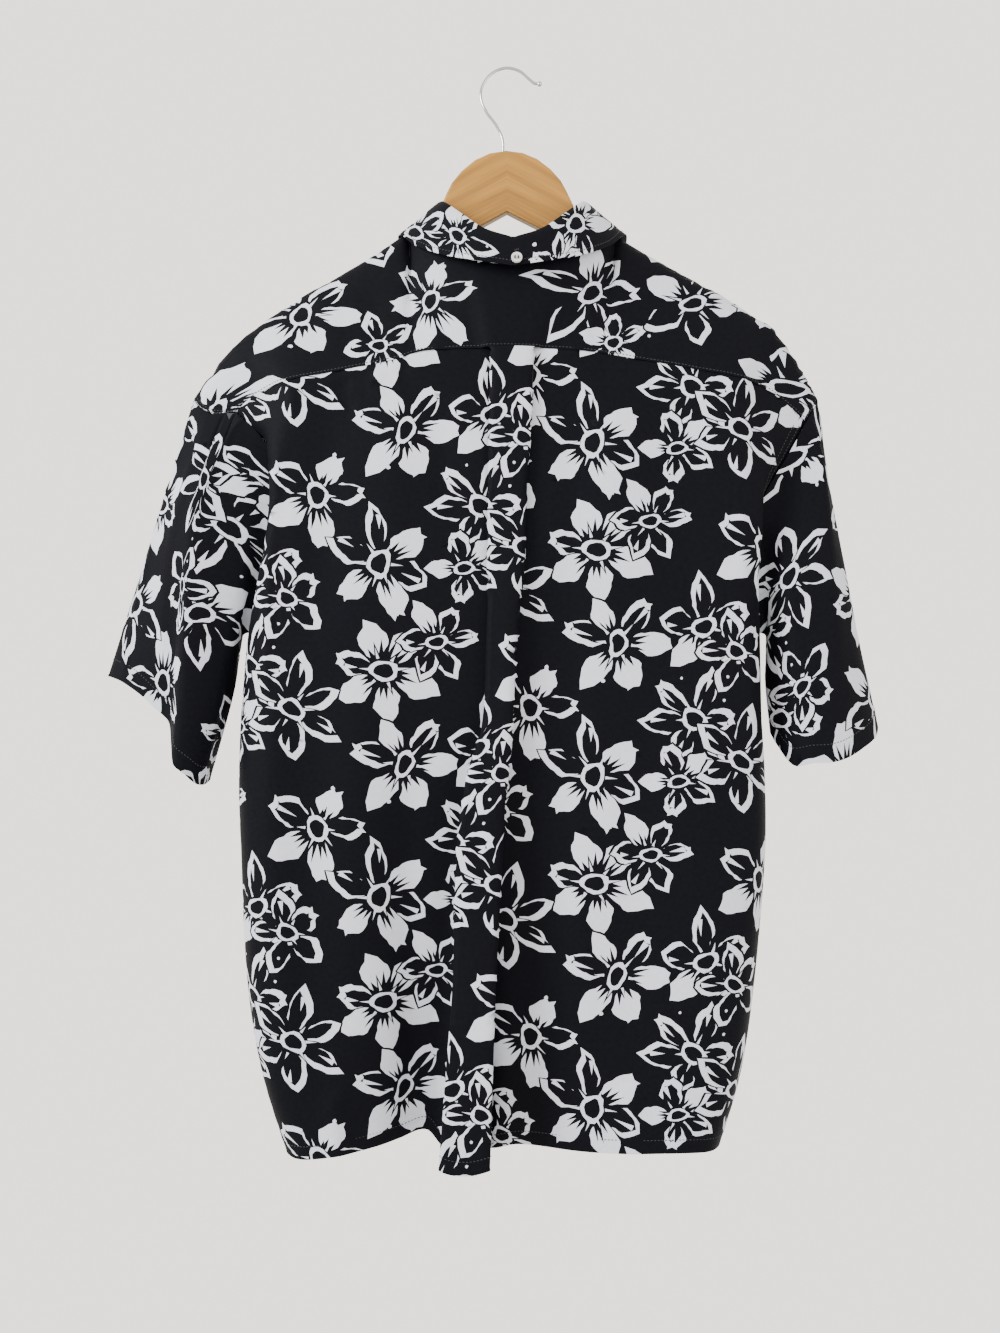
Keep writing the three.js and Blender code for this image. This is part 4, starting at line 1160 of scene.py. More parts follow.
PLEAT_CREASES = table(
    CREASE,
    (4, -300, 10, -640, -1.0, 9),
    (-14, -420, -8, -760, 1.2, 8),
    (12, -700, 14, -950, -1.3, 10),
)
FRONT_CREASES = table(
    CREASE,
    (60, 560, 80, 60, 2.8, 20),
    (130, 600, 140, 120, -2.8, 22),
    (180, 520, 170, 40, 2.2, 16),
    (-60, 540, -72, 40, 2.5, 18),
    (-130, 610, -120, 100, -2.8, 22),
    (-180, 480, -176, 60, 2.2, 14),
)
YOKE_CREASES = table(
    CREASE,
    (-170, 6, -180, 70, 1.3, 7),
    (-120, 4, -126, 60, -1.2, 7),
    (-60, 3, -64, 40, 1.0, 6),
    (60, 3, 64, 42, 1.1, 6),
    (112, 4, 118, 66, -1.2, 7),
    (150, 4, 158, 80, 1.3, 7),
    (200, 8, 204, 70, -1.4, 8),
    (-210, 8, -214, 66, -1.3, 8),
    (20, 20, 70, 60, -1.0, 12),
    (-30, 22, -80, 62, -1.0, 12),
)
# On a sleeve u runs round the hem from the underarm line and v down the sleeve from its axis point
LEFT_SLEEVE_CREASES = table(
    CREASE,
    (150, -60, 158, 195, 2.2, 2.6),
    (120, -40, 112, 180, -2.6, 12),
    (190, -50, 196, 170, 2.0, 10),
    (60, -20, 66, 120, -2.0, 9),
)
RIGHT_SLEEVE_CREASES = table(
    CREASE,
    (80, -60, 84, 180, 2.0, 9),
    (120, -40, 112, 190, -2.6, 11),
    (150, -60, 160, 170, 2.0, 8),
    (190, -50, 186, 160, -2.0, 10),
)


CREASE_BOW = 3
CREASE_START, CREASE_END = (-0.12, 0.22), (0.7, 1.12)  # where a crease rises and fades, as shares of it


def crease_field(rows):
    """How far a piece's points stand out of its surface, from its table of creases."""

    def field(flat, _points):
        total = np.zeros(len(flat))
        for row in rows:
            start = np.array((row["u0"], row["v0"]))
            run = np.array((row["u1"], row["v1"])) - start
            length = np.linalg.norm(run)
            run = run / length
            away = flat - start
            t = away @ run / length
            off = away[:, 0] * run[1] - away[:, 1] * run[0]
            bow = off + CREASE_BOW * np.sin(np.clip(t, 0, 1) * math.pi * 1.4)
            ends = step(t, *CREASE_START) * (1 - step(t, *CREASE_END))
            total += row["depth"] * ends * np.exp(-((bow / row["width"]) ** 2))
        return total

    return field


def flat_field(flat, _points):
    return np.zeros(len(flat))


# Node helpers
def new_material(name):
    made = bpy.data.materials.new(name)
    made.use_nodes = True
    tree = made.node_tree
    return made, tree, tree.nodes["Principled BSDF"]


def node(tree, kind, **settings):
    made = tree.nodes.new(kind)
    for name, value in settings.items():
        setattr(made, name, value)
    return made


def mixed(tree, factor, first, second):
    """A colour mix. first and second are colours or sockets."""
    made = node(tree, "ShaderNodeMix", data_type="RGBA")
    sockets = made.inputs["Factor"], made.inputs[6], made.inputs[7]
    for socket, value in zip(sockets, (factor, first, second)):
        if isinstance(value, bpy.types.NodeSocket):
            tree.links.new(value, socket)
        else:
            socket.default_value = value
    return made.outputs[2]


def set_inputs(made, values):
    for name, value in values.items():
        made.inputs[name].default_value = value


def noise(tree, place, values):
    """A noise texture's output over the places that a socket gives."""
    made = node(tree, "ShaderNodeTexNoise")
    set_inputs(made, values)
    tree.links.new(place, made.inputs["Vector"])
    return made.outputs["Fac"]


def add_bump(tree, shader, height, values):
    bump = node(tree, "ShaderNodeBump")
    set_inputs(bump, values)
    tree.links.new(height, bump.inputs["Height"])
    tree.links.new(bump.outputs["Normal"], shader.inputs["Normal"])


def new_group(name, number, default, outputs):
    """A node group that takes a place and one number, with the nodes for its inputs and outputs."""
    group = bpy.data.node_groups.new(name, "ShaderNodeTree")
    face = group.interface
    face.new_socket("Place", in_out="INPUT", socket_type="NodeSocketVector")
    face.new_socket(number, in_out="INPUT", socket_type="NodeSocketFloat").default_value = default
    for output in outputs:
        face.new_socket(output, in_out="OUTPUT", socket_type="NodeSocketFloat")
    return group, node(group, "NodeGroupInput"), node(group, "NodeGroupOutput")


def attribute(tree, name):
    return node(tree, "ShaderNodeAttribute", attribute_name=name).outputs["Fac"]


THREADS = 900  # the scale of the wave that draws the threads
THREAD_WANDER = 0.6
WEAVE_NOISE = {"Scale": 260, "Detail": 3}


def weave_group():
    """Crossing threads: a height and a fine shade from a place on flat cloth in metres."""
    group, start, end = new_group("Weave", "Threads", THREADS, ("Height", "Shade"))
    woven = node(group, "ShaderNodeMath", operation="MAXIMUM")
    for i, direction in enumerate(("X", "Y")):
        wave = node(group, "ShaderNodeTexWave", bands_direction=direction)
        wave.inputs["Distortion"].default_value = THREAD_WANDER
        group.links.new(start.outputs["Place"], wave.inputs["Vector"])
        group.links.new(start.outputs["Threads"], wave.inputs["Scale"])
        group.links.new(wave.outputs["Fac"], woven.inputs[i])
    group.links.new(woven.outputs[0], end.inputs["Height"])
    group.links.new(noise(group, start.outputs["Place"], WEAVE_NOISE), end.inputs["Shade"])
    return group


WORN = {"times": 1.8, "plus": 0.001}  # the ground's paler threads
DULL = 0.84  # the flowers' darker threads
INNER_GROUND, INNER_FLOWERS = (0.035, 0.035, 0.042, 1), (0.3, 0.3, 0.33, 1)
CLOTH_BUMP = {"Distance": 0.0001, "Strength": 0.35}
CLOTH_FINISH = {"Roughness": 0.6, "Specular IOR Level": 0.03, "Sheen Weight": 0.004, "Sheen Roughness": 0.4}


def cloth_material(settings):
    made, tree, shader = new_material("Print cloth")
    place = node(tree, "ShaderNodeUVMap", uv_map="cloth")
    weave = node(tree, "ShaderNodeGroup", node_tree=weave_group())
    tree.links.new(place.outputs["UV"], weave.inputs["Place"])
    ground = (*settings.ground_colour, 1)
    worn = tuple(min(1, c * WORN["times"] + WORN["plus"]) for c in settings.ground_colour) + (1,)
    pale = (*settings.flower_colour, 1)
    dull = tuple(c * DULL for c in settings.flower_colour) + (1,)
    black = mixed(tree, weave.outputs["Shade"], ground, worn)
    white = mixed(tree, weave.outputs["Shade"], pale, dull)
    printed = mixed(tree, attribute(tree, "ink"), black, white)
    inner = mixed(tree, attribute(tree, "ink"), INNER_GROUND, INNER_FLOWERS)
    colour = mixed(tree, attribute(tree, "inside"), printed, inner)
    tree.links.new(colour, shader.inputs["Base Color"])
    add_bump(tree, shader, weave.outputs["Height"], CLOTH_BUMP)
    set_inputs(shader, CLOTH_FINISH)
    return made


def spotted_material(name, first, second, scale, roughness, metallic=0.0):
    """A plain finish with a slight cloud in its colour and its roughness."""
    made, tree, shader = new_material(name)
    place = node(tree, "ShaderNodeTexCoord")
    cloud = noise(tree, place.outputs["Object"], {"Scale": scale, "Detail": 4})
    colour = mixed(tree, cloud, (*first, 1), (*second, 1))
    tree.links.new(colour, shader.inputs["Base Color"])
    shader.inputs["Metallic"].default_value = metallic
    rough = node(tree, "ShaderNodeMapRange")
    set_inputs(rough, {"To Min": roughness * 0.8, "To Max": roughness * 1.2})
    tree.links.new(cloud, rough.inputs["Value"])
    tree.links.new(rough.outputs["Result"], shader.inputs["Roughness"])
    return made


GRAIN_SLOPE = 0.49  # how far the grain leans down each arm, in radians
GRAIN = table(
    "name stretch scale",
    ("Bands", (3, 30, 55), 1.6),
    ("Pores", (20, 300, 900), 1.0),
)
GRAIN_NOISE = {"Detail": 5, "Distortion": 0.5}


def grain_group():
    """Wood grain along the arms of a hanger: colour shares from a place in metres."""
    group, start, end = new_group("Grain", "Slope", GRAIN_SLOPE, ("Bands", "Pores"))
    parts = node(group, "ShaderNodeSeparateXYZ")
    group.links.new(start.outputs["Place"], parts.inputs[0])
    out = node(group, "ShaderNodeMath", operation="ABSOLUTE")
    group.links.new(parts.outputs["X"], out.inputs[0])
    joined = node(group, "ShaderNodeCombineXYZ")
    for axis, output in (("X", out.outputs[0]), ("Y", parts.outputs["Y"]), ("Z", parts.outputs["Z"])):
        group.links.new(output, joined.inputs[axis])
    turned = node(group, "ShaderNodeVectorRotate", rotation_type="Y_AXIS")
    group.links.new(joined.outputs[0], turned.inputs["Vector"])
    flipped = node(group, "ShaderNodeMath", operation="MULTIPLY")
    flipped.inputs[1].default_value = -1
    group.links.new(start.outputs["Slope"], flipped.inputs[0])
    group.links.new(flipped.outputs[0], turned.inputs["Angle"])
    for row in GRAIN:
        sized = node(group, "ShaderNodeVectorMath", operation="MULTIPLY")
        sized.inputs[1].default_value = row["stretch"]
        group.links.new(turned.outputs[0], sized.inputs[0])
        grain = noise(group, sized.outputs[0], {"Scale": row["scale"], **GRAIN_NOISE})
        group.links.new(grain, end.inputs[row["name"]])
    return group


WOOD_RAMP = ((0.34, (0.15, 0.06, 0.008, 1)), (0.66, (0.37, 0.18, 0.028, 1)))
PORE_TONES = ((0.04, 0.014, 0.002, 1), (0.4, 0.2, 0.035, 1))
PORE_SHARE = 0.5
WOOD_BUMP = {"Distance": 0.0002, "Strength": 0.2}
WOOD_FINISH = {"Roughness": 0.42, "Coat Weight": 0.06, "Specular IOR Level": 0.25}


def wood_material():
    made, tree, shader = new_material("Hanger wood")
    place = node(tree, "ShaderNodeTexCoord")
    grain = node(tree, "ShaderNodeGroup", node_tree=grain_group())
    tree.links.new(place.outputs["Object"], grain.inputs["Place"])
    ramp = node(tree, "ShaderNodeValToRGB")
    for i, (position, tone) in enumerate(WOOD_RAMP):
        ramp.color_ramp.elements[i].position = position
        ramp.color_ramp.elements[i].color = tone
    tree.links.new(grain.outputs["Bands"], ramp.inputs[0])
    pores = mixed(tree, grain.outputs["Pores"], *PORE_TONES)
    colour = mixed(tree, PORE_SHARE, ramp.outputs[0], pores)
    tree.links.new(colour, shader.inputs["Base Color"])
    add_bump(tree, shader, grain.outputs["Pores"], WOOD_BUMP)
    set_inputs(shader, WOOD_FINISH)
    return made


def material(name, make):
    """The material of that name, made the first time that it is asked for."""
    return bpy.data.materials.get(name) or make()


def print_cloth():
    return material("Print cloth", lambda: cloth_material(bpy.context.scene.shirt_cloth))


THREAD_TONES = ((0.003, 0.003, 0.005), (0.012, 0.012, 0.015))
BUTTON_TONES = ((0.5, 0.5, 0.48), (0.3, 0.3, 0.3))


def thread():
    return material("Thread", lambda: spotted_material("Thread", *THREAD_TONES, 900, 0.7))


def shell_button():
    return material("Button shell", lambda: spotted_material("Button shell", *BUTTON_TONES, 160, 0.3))


# Sewing
def stitch_points(s, path, inside, lift):
    """Points along a path of a and b on a surface, moved out of it by lift, and their ways out."""
    path = np.array(path, dtype=float)
    points = sample(s, path[:, 0], path[:, 1])
    out = normals(s, path[:, 0], path[:, 1], inside)
    return points + out * lift, out


def at_run(values, run, place):
    """A row of values read at a distance along their run."""
    return np.array([np.interp(place, run, values[:, i]) for i in range(3)])


THREAD_HEIGHT = 0.8  # a thread's height as a share of its width
THREAD_QUARTER = 0.9  # its size a quarter of the way from an end


def thread_corners(ends, side, up):
    """The ten corners of a thread: an end, four near it, four near the other end, and that end."""
    middle = (ends[0] + ends[1]) / 2
    half = [side, up, -side, -up]
    corners = [ends[0]]
    corners += [mix(ends[0], middle, 0.5) + h * THREAD_QUARTER for h in half]
    corners += [mix(middle, ends[1], 0.5) + h * THREAD_QUARTER for h in half]
    return corners + [ends[1]]


def thread_faces(first):
    """The faces of a thread whose corners start at a number."""
    faces = []
    for i in range(4):
        j = (i + 1) % 4
        faces.append((first, first + 1 + j, first + 1 + i))
        faces.append((first + 1 + i, first + 1 + j, first + 5 + j, first + 5 + i))
        faces.append((first + 5 + i, first + 5 + j, first + 9))
    return faces


def stitch_mesh(name, rows, pitch=3.1, length=2.2, width=0.42):
    """Short threads along rows of points with their outward ways, as one mesh."""
    verts, faces = [], []
    for points, out in rows:
        run = arcs(points)
        for at in np.arange(pitch / 2, run[-1] - pitch / 2, pitch):
            ends = [at_run(points, run, at + d) for d in (-length / 2, length / 2)]
            up = at_run(out, run, at)
            way = ends[1] - ends[0]
            size = np.linalg.norm(way)
            if size < 1e-6:
                continue
            way /= size
            side = np.cross(way, up)
            side /= max(np.linalg.norm(side), 1e-9)
            faces += thread_faces(len(verts))
            verts += thread_corners(ends, side * width, up * width * THREAD_HEIGHT)
    mesh = bpy.data.meshes.new(name)
    mesh.from_pydata([tuple(v * MM) for v in verts], [], faces)
    mesh.polygons.foreach_set("use_smooth", [True] * len(faces))
    mesh.update()
    return mesh


def sewing(name, rows):
    mesh = stitch_mesh(name, rows)
    mesh.materials.append(thread())
    obj = linked(name, mesh)
    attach(obj, "root")
    return obj


# Directions: each gives points on the inner side of its piece's points
INWARD = (0, 100, 0)
BELOW_YOKE = 30


def within_back(points):
    return points - vec(*INWARD)


def within_front(points):
    return points + vec(*INWARD)


def within_yoke(points):
    return np.stack((points[:, 0], 0 * points[:, 1], points[:, 2] - BELOW_YOKE), axis=1)


def within_collar(points):
    return np.stack((0 * points[:, 0] + COLLAR_MIDDLE, 0 * points[:, 1], points[:, 2]), axis=1)


def within_sleeve(sign):
    top, way = sleeve_axis(sign)

    def inside(points):
        return top + ((points - top) @ way)[:, None] * way

    return inside


# How far the stitches lie from their edges, and the print's shift on each piece, in millimetres
BACK_HEM_STITCH = 12
FRONT_HEM_STITCH = 14
SLEEVE_HEM_STITCH = 16
ARMHOLE_STITCHES = (2.5, 8.5)
ARMHOLE_SPAN = (-322, -500)  # heights between which the back's armholes are stitched
YOKE_EDGE_STITCH = 2
YOKE_SIDE_STITCHES = (3, 9)
PLACKET_STITCH = 2.5
PLACKET_LIFT = 0.35  # between the placket and the front under it
LEAF_STITCH = 4.5
SMALL_STEP = 5.0  # between the points of the narrow pieces
SHIFT = {
    "back_left": (0, 0),
    "back_pleat": (0, 0),
    "back_right": (18, -34),
    "left_front": (25, 30),
    "right_front": (-45, 90),
    "placket": (90, 55),
    "left_sleeve": (40, 560),
    "right_sleeve": (10, 640),
    "stand": (60, 120),
}


def hem_line(x):
    return read(BACK_HEM, "x", "z", x)


def yoke_line(x):
    return read(YOKE_SEAM, "x", "z", x)


YOKE_TUCK = 4.0  # how far the back's cloth goes up behind the yoke
TUCK_DEPTH = 1.8  # and how far inward


def tuck_line(x):
    return yoke_line(x) + YOKE_TUCK


def tucked(creases):
    """The creases, and the edge above the yoke seam moved inward, behind the yoke."""

    def field(flat, points):
        seam = np.array([yoke_line(x) for x in points[:, 0]])
        return creases(flat, points) - TUCK_DEPTH * step(points[:, 2] - seam, -0.8, 1.0)

    return field


def thickness():
    return bpy.context.scene.shirt_cloth.cloth_thickness / MM


def mesh_step():
    return bpy.context.scene.shirt_cloth.mesh_step / MM


def stitch_lift():
    """From the middle of the cloth to the middle of a thread that lies on it."""
    return thickness() / 2 + 0.1


def add_back(name, side):
    s = back_surface(SIDES[side])
    outline = level_outline(s, tuck_line, hem_line)
    creases = tucked(crease_field(BACK_LEFT_CREASES if side == "left" else BACK_RIGHT_CREASES))
    obj = cloth_piece(name, s, outline, within_back, SHIFT[name], creases, True)
    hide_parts("back_panel")
    hems = [(z + BACK_HEM_STITCH, b) for z, b in hem_edge(s)]
    rows = [stitch_points(s, hems, within_back, stitch_lift())]
    near = np.linspace(*ARMHOLE_SPAN, 60)
    for inset in ARMHOLE_STITCHES:
        places = [(z, float(flat_b(s, z, 0)) - SIDES[side]["sign"] * inset) for z in near]
        rows.append(stitch_points(s, places, within_back, stitch_lift()))
    seam = sewing(name + "_stitches", rows)


def hem_edge(s, count=120):
    return [on_line(s, hem_line, HEM_GUESS, share, 4) for share in np.linspace(0.01, 0.99, count)]


def add_pleat():
    name = "back_pleat"
    s = pleat_surface()
    outline = level_outline(s, yoke_line, hem_line)
    creases = crease_field(PLEAT_CREASES)
    obj = cloth_piece(name, s, outline, within_back, SHIFT[name], creases, True, SMALL_STEP)
    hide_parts("back_panel")
    hems = [(z + BACK_HEM_STITCH, b) for z, b in hem_edge(s)]
    seam = sewing("pleat_stitches", [stitch_points(s, hems, within_back, stitch_lift())])


def add_yoke():
    s = yoke_surface()
    outline = surface_outline(s)
    creases = crease_field(YOKE_CREASES)
    obj = cloth_piece("yoke", s, outline, within_yoke, (0, -YOKE_LEVEL), creases, flowers=YOKE_FLOWERS)
    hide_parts("back_yoke")
    keys = np.linspace(s["keys"][0] + 3, s["keys"][-1] - 3, 220)
    edge = [(a, float(flat_b(s, a, 0)) + YOKE_EDGE_STITCH) for a in keys]
    rows = [stitch_points(s, edge, within_yoke, stitch_lift())]
    for inset in YOKE_SIDE_STITCHES:
        for key in (s["keys"][0] + inset, s["keys"][-1] - inset):
            _, _, length = index_of(s, np.array([key]))
            foot = float(flat_b(s, key, 0))
            column = [(key, foot + b) for b in np.linspace(3, float(length[0]) - 3, 50)]
            rows.append(stitch_points(s, column, within_yoke, stitch_lift()))
    seam = sewing("yoke_stitches", rows)


def add_front(name):
    s = front_surface(name)
    creases = crease_field(FRONT_CREASES)
    piece = name + "_front"
    obj = cloth_piece(piece + "_cloth", s, surface_outline(s), within_front, SHIFT[piece], creases)
    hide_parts(name + "_front")
    keys = np.linspace(s["keys"][0] + 2, s["keys"][-1] - 2, 110)
    hem = [(a, FRONT_HEM_STITCH) for a in keys]
    seam = sewing(piece + "_stitches", [stitch_points(s, hem, within_front, stitch_lift())])
    if name == "left":
        add_placket(s, creases)


def add_placket(s, creases):
    """The strip over the left front's edge, on the front's own points and moved out."""
    lift = thickness() + PLACKET_LIFT
    low, high = FRONT_CENTRE - PLACKET_WIDTH / 2, FRONT_CENTRE + PLACKET_WIDTH / 2

    def field(flat, points):
        return creases(flat, points) + lift

    keys = np.linspace(low + 0.2, high, 12)
    outline = [(a, float(flat_b(s, a, 0.004))) for a in keys]
    outline += [(high, b) for b in np.linspace(float(flat_b(s, high, 0.01)), 0, 160)]
    outline += [(a, 0.0) for a in keys[::-1][1:]]
    outline += [(keys[0], b) for b in np.linspace(0, float(flat_b(s, low, 0.01)), 160)[1:]]
    shift = SHIFT["placket"]
    obj = cloth_piece("placket", s, outline, within_front, shift, field, spacing=SMALL_STEP)
    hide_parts("front_placket")
    rows = []
    for a in (low + PLACKET_STITCH, high - PLACKET_STITCH):
        path = [(a, b) for b in np.linspace(4, float(flat_b(s, a, 0.02)), 160)]
        rows.append(stitch_points(s, path, within_front, lift + stitch_lift()))
    seam = sewing("placket_stitches", rows)


def add_sleeve(name, lines, under, creases):
    """One sleeve. under is the place of the underarm line among its lines."""
    side = SIDES[name]
    s = sleeve_surface(lines, side, under)
    inside = within_sleeve(side["sign"])
    field = crease_field(creases)
    piece = name + "_sleeve"
    obj = cloth_piece(piece + "_cloth", s, surface_outline(s), inside, SHIFT[piece], field)
    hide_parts(name + "_sleeve")
    keys = np.linspace(s["keys"][0], s["keys"][-1], 180)
    hem = [(a, float(flat_b(s, a, 1)) - SLEEVE_HEM_STITCH) for a in keys]
    seam = sewing(piece + "_stitches", [stitch_points(s, hem, inside, stitch_lift())])


def add_stand():
    s = stand_surface()
    outline = surface_outline(s, 0.02, 1)
    place = (within_collar, SHIFT["stand"], flat_field)
    obj = cloth_piece("collar_stand_cloth", s, outline, *place, spacing=SMALL_STEP)
    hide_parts("collar_stand")


BUTTONHOLE = {"middle": 3.0, "down": 0.76, "half": 1.4, "above": 9, "below": 7}


def add_leaf():
    """The collar's leaf, with its edge stitch and the worked buttonhole behind its button."""
    s = leaf_surface()
    outline = surface_outline(s)
    place = (within_collar, (0, 0), flat_field)
    obj = cloth_piece("collar_leaf_cloth", s, outline, *place, spacing=SMALL_STEP, flowers=LEAF_FLOWERS)
    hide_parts("collar_leaf")
    keys = np.linspace(s["keys"][0] + 4, s["keys"][-1] - 4, 200)
    edge = [(a, float(flat_b(s, a, 1)) - LEAF_STITCH) for a in keys]
    rows = [stitch_points(s, edge, within_collar, stitch_lift())]
    middle, half = BUTTONHOLE["middle"], BUTTONHOLE["half"]
    hole = float(flat_b(s, middle, BUTTONHOLE["down"]))
    for a in (middle - half, middle, middle + half):
        path = [(a, b) for b in np.linspace(hole - BUTTONHOLE["above"], hole + BUTTONHOLE["below"], 12)]
        rows.append(stitch_points(s, path, within_collar, stitch_lift()))
    seam = sewing("collar_stitches", rows)


BUTTON_HOLE_X = 1.5
BUTTON_THREAD = {"reach": 1.65, "pitch": 3.2, "length": 3.1, "width": 0.75}
BUTTONS = [f"front_button_{i}" for i in range(1, 7)] + ["back_collar_button"]


def add_buttons():
    """The buttons' own finish, and the threads that hold them through their four holes."""
    rows = []
    for name in BUTTONS:
        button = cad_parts[name]
        button.data.materials.clear()
        button.data.materials.append(shell_button())
        low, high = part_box(name)
        middle = np.array((low + high) / 2) / MM
        back = name.startswith("back")
        out = vec(0, 1 if back else -1, 0)
        face = (high[1] if back else low[1]) / MM
        reach = BUTTON_THREAD["reach"]
        for x in (-BUTTON_HOLE_X, BUTTON_HOLE_X):
            ends = [vec(middle[0] + x, face, middle[2] + z) for z in (-reach, reach)]
            rows.append((np.array(ends), np.array([out, out])))
    sizes = {size: BUTTON_THREAD[size] for size in ("pitch", "length", "width")}
    mesh = stitch_mesh("button_threads", rows, **sizes)
    mesh.materials.append(thread())
    obj = linked("button_threads", mesh)
    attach(obj, "root")


BALL_RADIUS = 0.0024  # at the hook's end
WIRE_TONES = ((0.42, 0.43, 0.45), (0.3, 0.31, 0.33))
HOOK_ROUTE = table(
    "x z",
    (3.4, -96),
    (3.4, -86),
    (3.5, -74),
    (3.9, -63),
    (9.5, -50.5),
    (18, -39),
    (23, -27.5),
    (22.8, -17),
    (16.5, -6.2),
    (8, -0.4),
    (-1, 1.4),
    (-11.5, -1.6),
    (-19.4, -8.2),
    (-24.6, -12.3),
    (-29.4, -13),
)


def add_hook():
    """The wire as a swept curve, with a ball at its end."""
    wire = bpy.context.scene.shirt_hanger.wire_width
    stops = along([vec(row["x"], 0, row["z"]) for row in HOOK_ROUTE], spread(100))
    bpy.ops.object.select_all(action="DESELECT")
    bpy.ops.curve.primitive_nurbs_path_add()
    path = bpy.context.object
    path.location = (0, 0, 0)
    path.data.splines.clear()
    line = path.data.splines.new("POLY")
    line.points.add(len(stops) - 1)
    for point, stop in zip(line.points, stops):
        point.co = (*(stop * MM), 1)
    path.data.bevel_depth = wire / 2
    path.data.bevel_resolution = 4
    path.data.use_fill_caps = True
    bpy.ops.object.convert(target="MESH")
    hook = bpy.context.object
    bpy.ops.object.select_all(action="DESELECT")
    ball_place = {"radius": BALL_RADIUS, "location": stops[-1] * MM}
    bpy.ops.mesh.primitive_uv_sphere_add(segments=28, ring_count=16, **ball_place)
    bpy.ops.object.transform_apply(location=True, rotation=True, scale=True)
    hook.select_set(True)
    bpy.context.view_layer.objects.active = hook
    bpy.ops.object.join()
    hook = bpy.context.object
    hook.name = "wire_hook"
    bpy.ops.object.shade_smooth()
    hook.data.materials.clear()
    finish = (*WIRE_TONES, 240, 0.14, 1.0)
    hook.data.materials.append(material("Wire", lambda: spotted_material("Wire", *finish)))
    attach(hook, "root")
    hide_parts("hanger_hook")


def add_wood():
    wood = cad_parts["hanger_wood"]
    wood.data.materials.clear()
    wood.data.materials.append(material("Hanger wood", wood_material))


# Lights in metres. share is of the key light's power
LIGHTS = table(
    "name place size share",
    ("key", (2.1, 1.2, 0.5), 1.0, 1.0),
    ("fill", (-1.5, 1.6, -0.2), 1.6, 0.2),
    ("front", (-0.6, -2.0, 0.6), 1.6, 0.3),
)
LIT_MIDDLE = (0, 0, -0.5)
WORLD_COLOUR = (1.0, 0.965, 0.885, 1)
FLOOR_SIZE = 2
FLOOR_TONES = ((0.72, 0.72, 0.73), (0.76, 0.76, 0.77))
CAMERA_PLACE = (0.0063, 1.1, -0.5373)
CAMERA_LENS = 33.0
CAMERA_SENSOR = 36


def add_light(name, place, target, size, power):
    data = bpy.data.lights.new(name, "AREA")
    data.size = size
    data.energy = power
    obj = linked(name, data)
    obj.location = place
    obj.rotation_euler = (Vector(target) - Vector(place)).to_track_quat("-Z", "Y").to_euler()


def add_stage():
    stage = bpy.context.scene.shirt_stage
    bpy.ops.object.select_all(action="DESELECT")
    bpy.ops.mesh.primitive_plane_add(size=FLOOR_SIZE, location=(0, 0, stage.floor_height))
    floor = bpy.context.object
    floor.name = "floor"
    floor.data.materials.append(material("Floor", lambda: spotted_material("Floor", *FLOOR_TONES, 3, 0.85)))
    for light in LIGHTS:
        power = stage.key_power * light["share"]
        add_light(light["name"], light["place"], LIT_MIDDLE, light["size"], power)
    world = bpy.data.worlds.new("Studio")
    world.use_nodes = True
    world.node_tree.nodes["Background"].inputs[0].default_value = WORLD_COLOUR
    world.node_tree.nodes["Background"].inputs[1].default_value = stage.world_strength
    bpy.context.scene.world = world
    data = bpy.data.cameras.new("camera")
    data.lens = CAMERA_LENS
    data.sensor_width = CAMERA_SENSOR
    camera = linked("camera", data)
    camera.location = CAMERA_PLACE
    camera.rotation_euler = (math.pi / 2, 0, math.pi)
    bpy.context.scene.camera = camera


GROUND = (0.0014, 0.0015, 0.0026)
FLOWER_INK = (0.45, 0.465, 0.52)


class ShirtCloth(bpy.types.PropertyGroup):
    cloth_thickness: bpy.props.FloatProperty(
        name="Thickness", description="One layer of the cloth", default=0.0007, unit="LENGTH"
    )
    mesh_step: bpy.props.FloatProperty(
        name="Mesh step", description="Between the points of a cloth piece", default=0.006, unit="LENGTH"
    )
    ground_colour: bpy.props.FloatVectorProperty(
        name="Ground", description="The cloth's dark ground", default=GROUND, subtype="COLOR"
    )
    flower_colour: bpy.props.FloatVectorProperty(
        name="Flowers", description="The pale ink of the flowers", default=FLOWER_INK, subtype="COLOR"
    )


class ShirtHanger(bpy.types.PropertyGroup):
    wire_width: bpy.props.FloatProperty(
        name="Wire", description="The hook wire's width", default=0.0028, unit="LENGTH"
    )


class ShirtStage(bpy.types.PropertyGroup):
    floor_height: bpy.props.FloatProperty(
        name="Floor", description="The floor's height below the hook", default=-3.2, unit="LENGTH"
    )
    key_power: bpy.props.FloatProperty(
        name="Key light", description="Power of the key light", default=150, unit="POWER"
    )
    world_strength: bpy.props.FloatProperty(
        name="World", description="Strength of the even light", default=2.2, subtype="FACTOR"
    )


class SHIRT_OT_body(bpy.types.Operator):
    """Adds the back with its box pleat, the yoke and the two fronts"""

    bl_idname = "shirt.body"
    bl_label = "Body"

    def execute(self, context):
        add_back("back_left", "left")
        add_back("back_right", "right")
        add_pleat()
        add_yoke()
        add_front("left")
        add_front("right")
        return {"FINISHED"}


class SHIRT_OT_sleeves(bpy.types.Operator):
    """Adds the two sleeves"""

    bl_idname = "shirt.sleeves"
    bl_label = "Sleeves"

    def execute(self, context):
        add_sleeve("left", LEFT_SLEEVE, 9, LEFT_SLEEVE_CREASES)
        add_sleeve("right", RIGHT_SLEEVE, 8, RIGHT_SLEEVE_CREASES)
        return {"FINISHED"}


class SHIRT_OT_collar(bpy.types.Operator):
    """Adds the collar's stand and leaf"""

    bl_idname = "shirt.collar"
    bl_label = "Collar"

    def execute(self, context):
        add_stand()
        add_leaf()
        return {"FINISHED"}


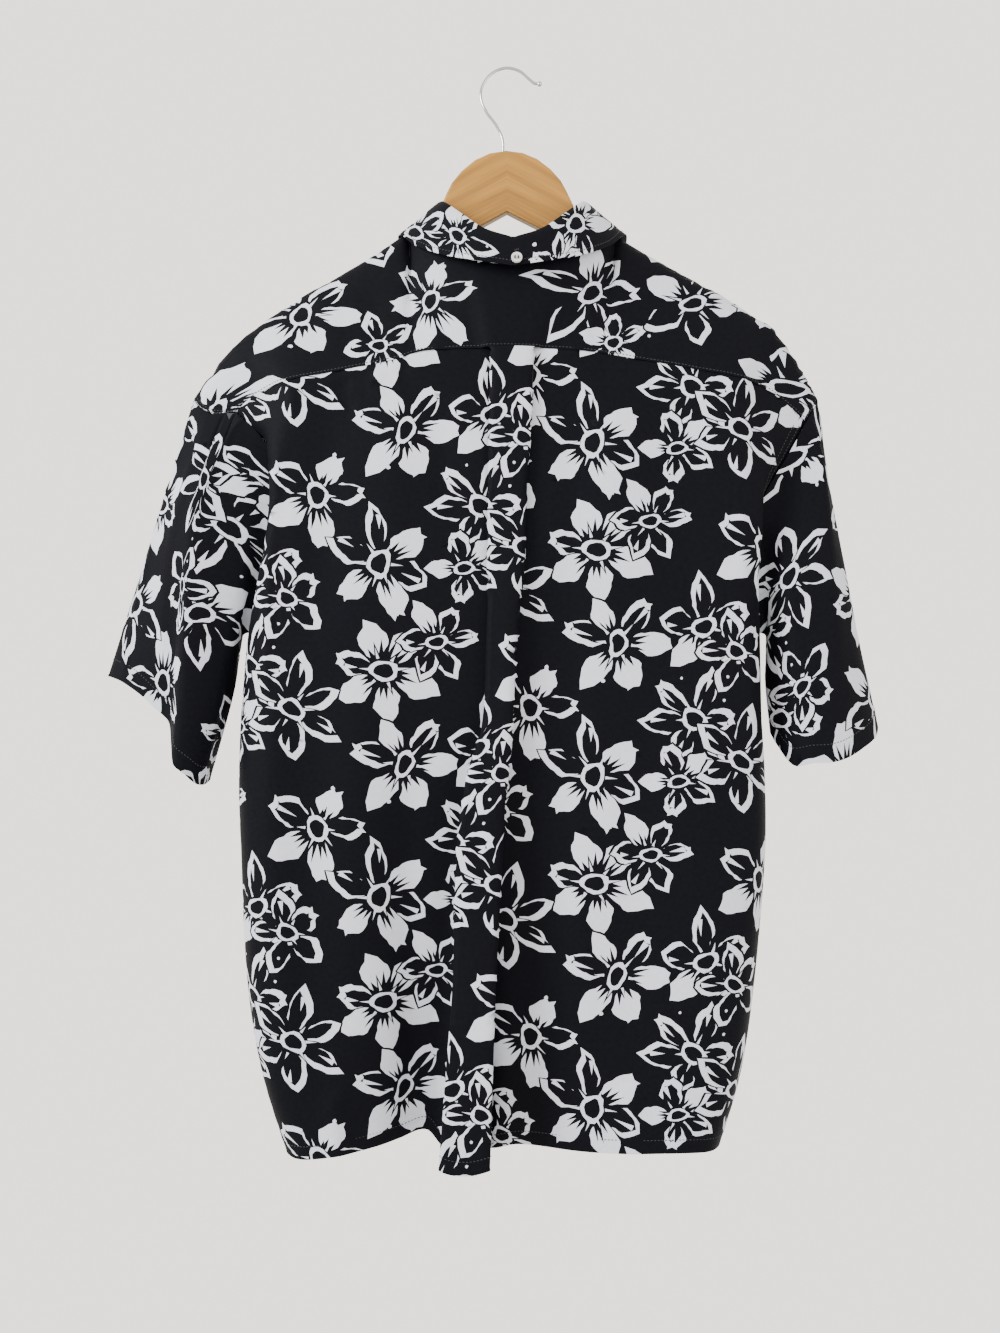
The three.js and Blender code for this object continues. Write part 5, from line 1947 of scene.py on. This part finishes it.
class SHIRT_OT_buttons(bpy.types.Operator):
    """Finishes the buttons and adds their threads"""

    bl_idname = "shirt.buttons"
    bl_label = "Buttons"

    def execute(self, context):
        add_buttons()
        return {"FINISHED"}


class SHIRT_OT_hanger(bpy.types.Operator):
    """Finishes the hanger's wood and adds its wire hook"""

    bl_idname = "shirt.hanger"
    bl_label = "Hanger"

    def execute(self, context):
        add_wood()
        add_hook()
        return {"FINISHED"}


class SHIRT_OT_stage(bpy.types.Operator):
    """Adds the floor, lights and camera"""

    bl_idname = "shirt.stage"
    bl_label = "Stage"

    def execute(self, context):
        add_stage()
        return {"FINISHED"}


class SHIRT_PT_panel(bpy.types.Panel):
    bl_label = "Shirt"
    bl_idname = "SHIRT_PT_panel"
    bl_space_type = "VIEW_3D"
    bl_region_type = "UI"
    bl_category = "Shirt"

    def draw(self, context):
        for group in (context.scene.shirt_cloth, context.scene.shirt_hanger, context.scene.shirt_stage):
            for name in group.bl_rna.properties.keys():
                if name not in ("rna_type", "name"):
                    self.layout.prop(group, name)
        for operator in OPERATORS:
            self.layout.operator(operator.bl_idname)


GROUPS = {"shirt_cloth": ShirtCloth, "shirt_hanger": ShirtHanger, "shirt_stage": ShirtStage}
OPERATORS = (
    SHIRT_OT_body,
    SHIRT_OT_sleeves,
    SHIRT_OT_collar,
    SHIRT_OT_buttons,
    SHIRT_OT_hanger,
    SHIRT_OT_stage,
)


def register():
    for name, group in GROUPS.items():
        bpy.utils.register_class(group)
        setattr(bpy.types.Scene, name, bpy.props.PointerProperty(type=group))
    for made in (*OPERATORS, SHIRT_PT_panel):
        bpy.utils.register_class(made)


def unregister():
    for made in (SHIRT_PT_panel, *reversed(OPERATORS)):
        bpy.utils.unregister_class(made)
    for name, group in GROUPS.items():
        delattr(bpy.types.Scene, name)
        bpy.utils.unregister_class(group)


def main():
    register()
    bpy.ops.shirt.body()
    bpy.ops.shirt.sleeves()
    bpy.ops.shirt.collar()
    bpy.ops.shirt.buttons()
    bpy.ops.shirt.hanger()
    bpy.ops.shirt.stage()


if __name__ == "__main__":
    main()
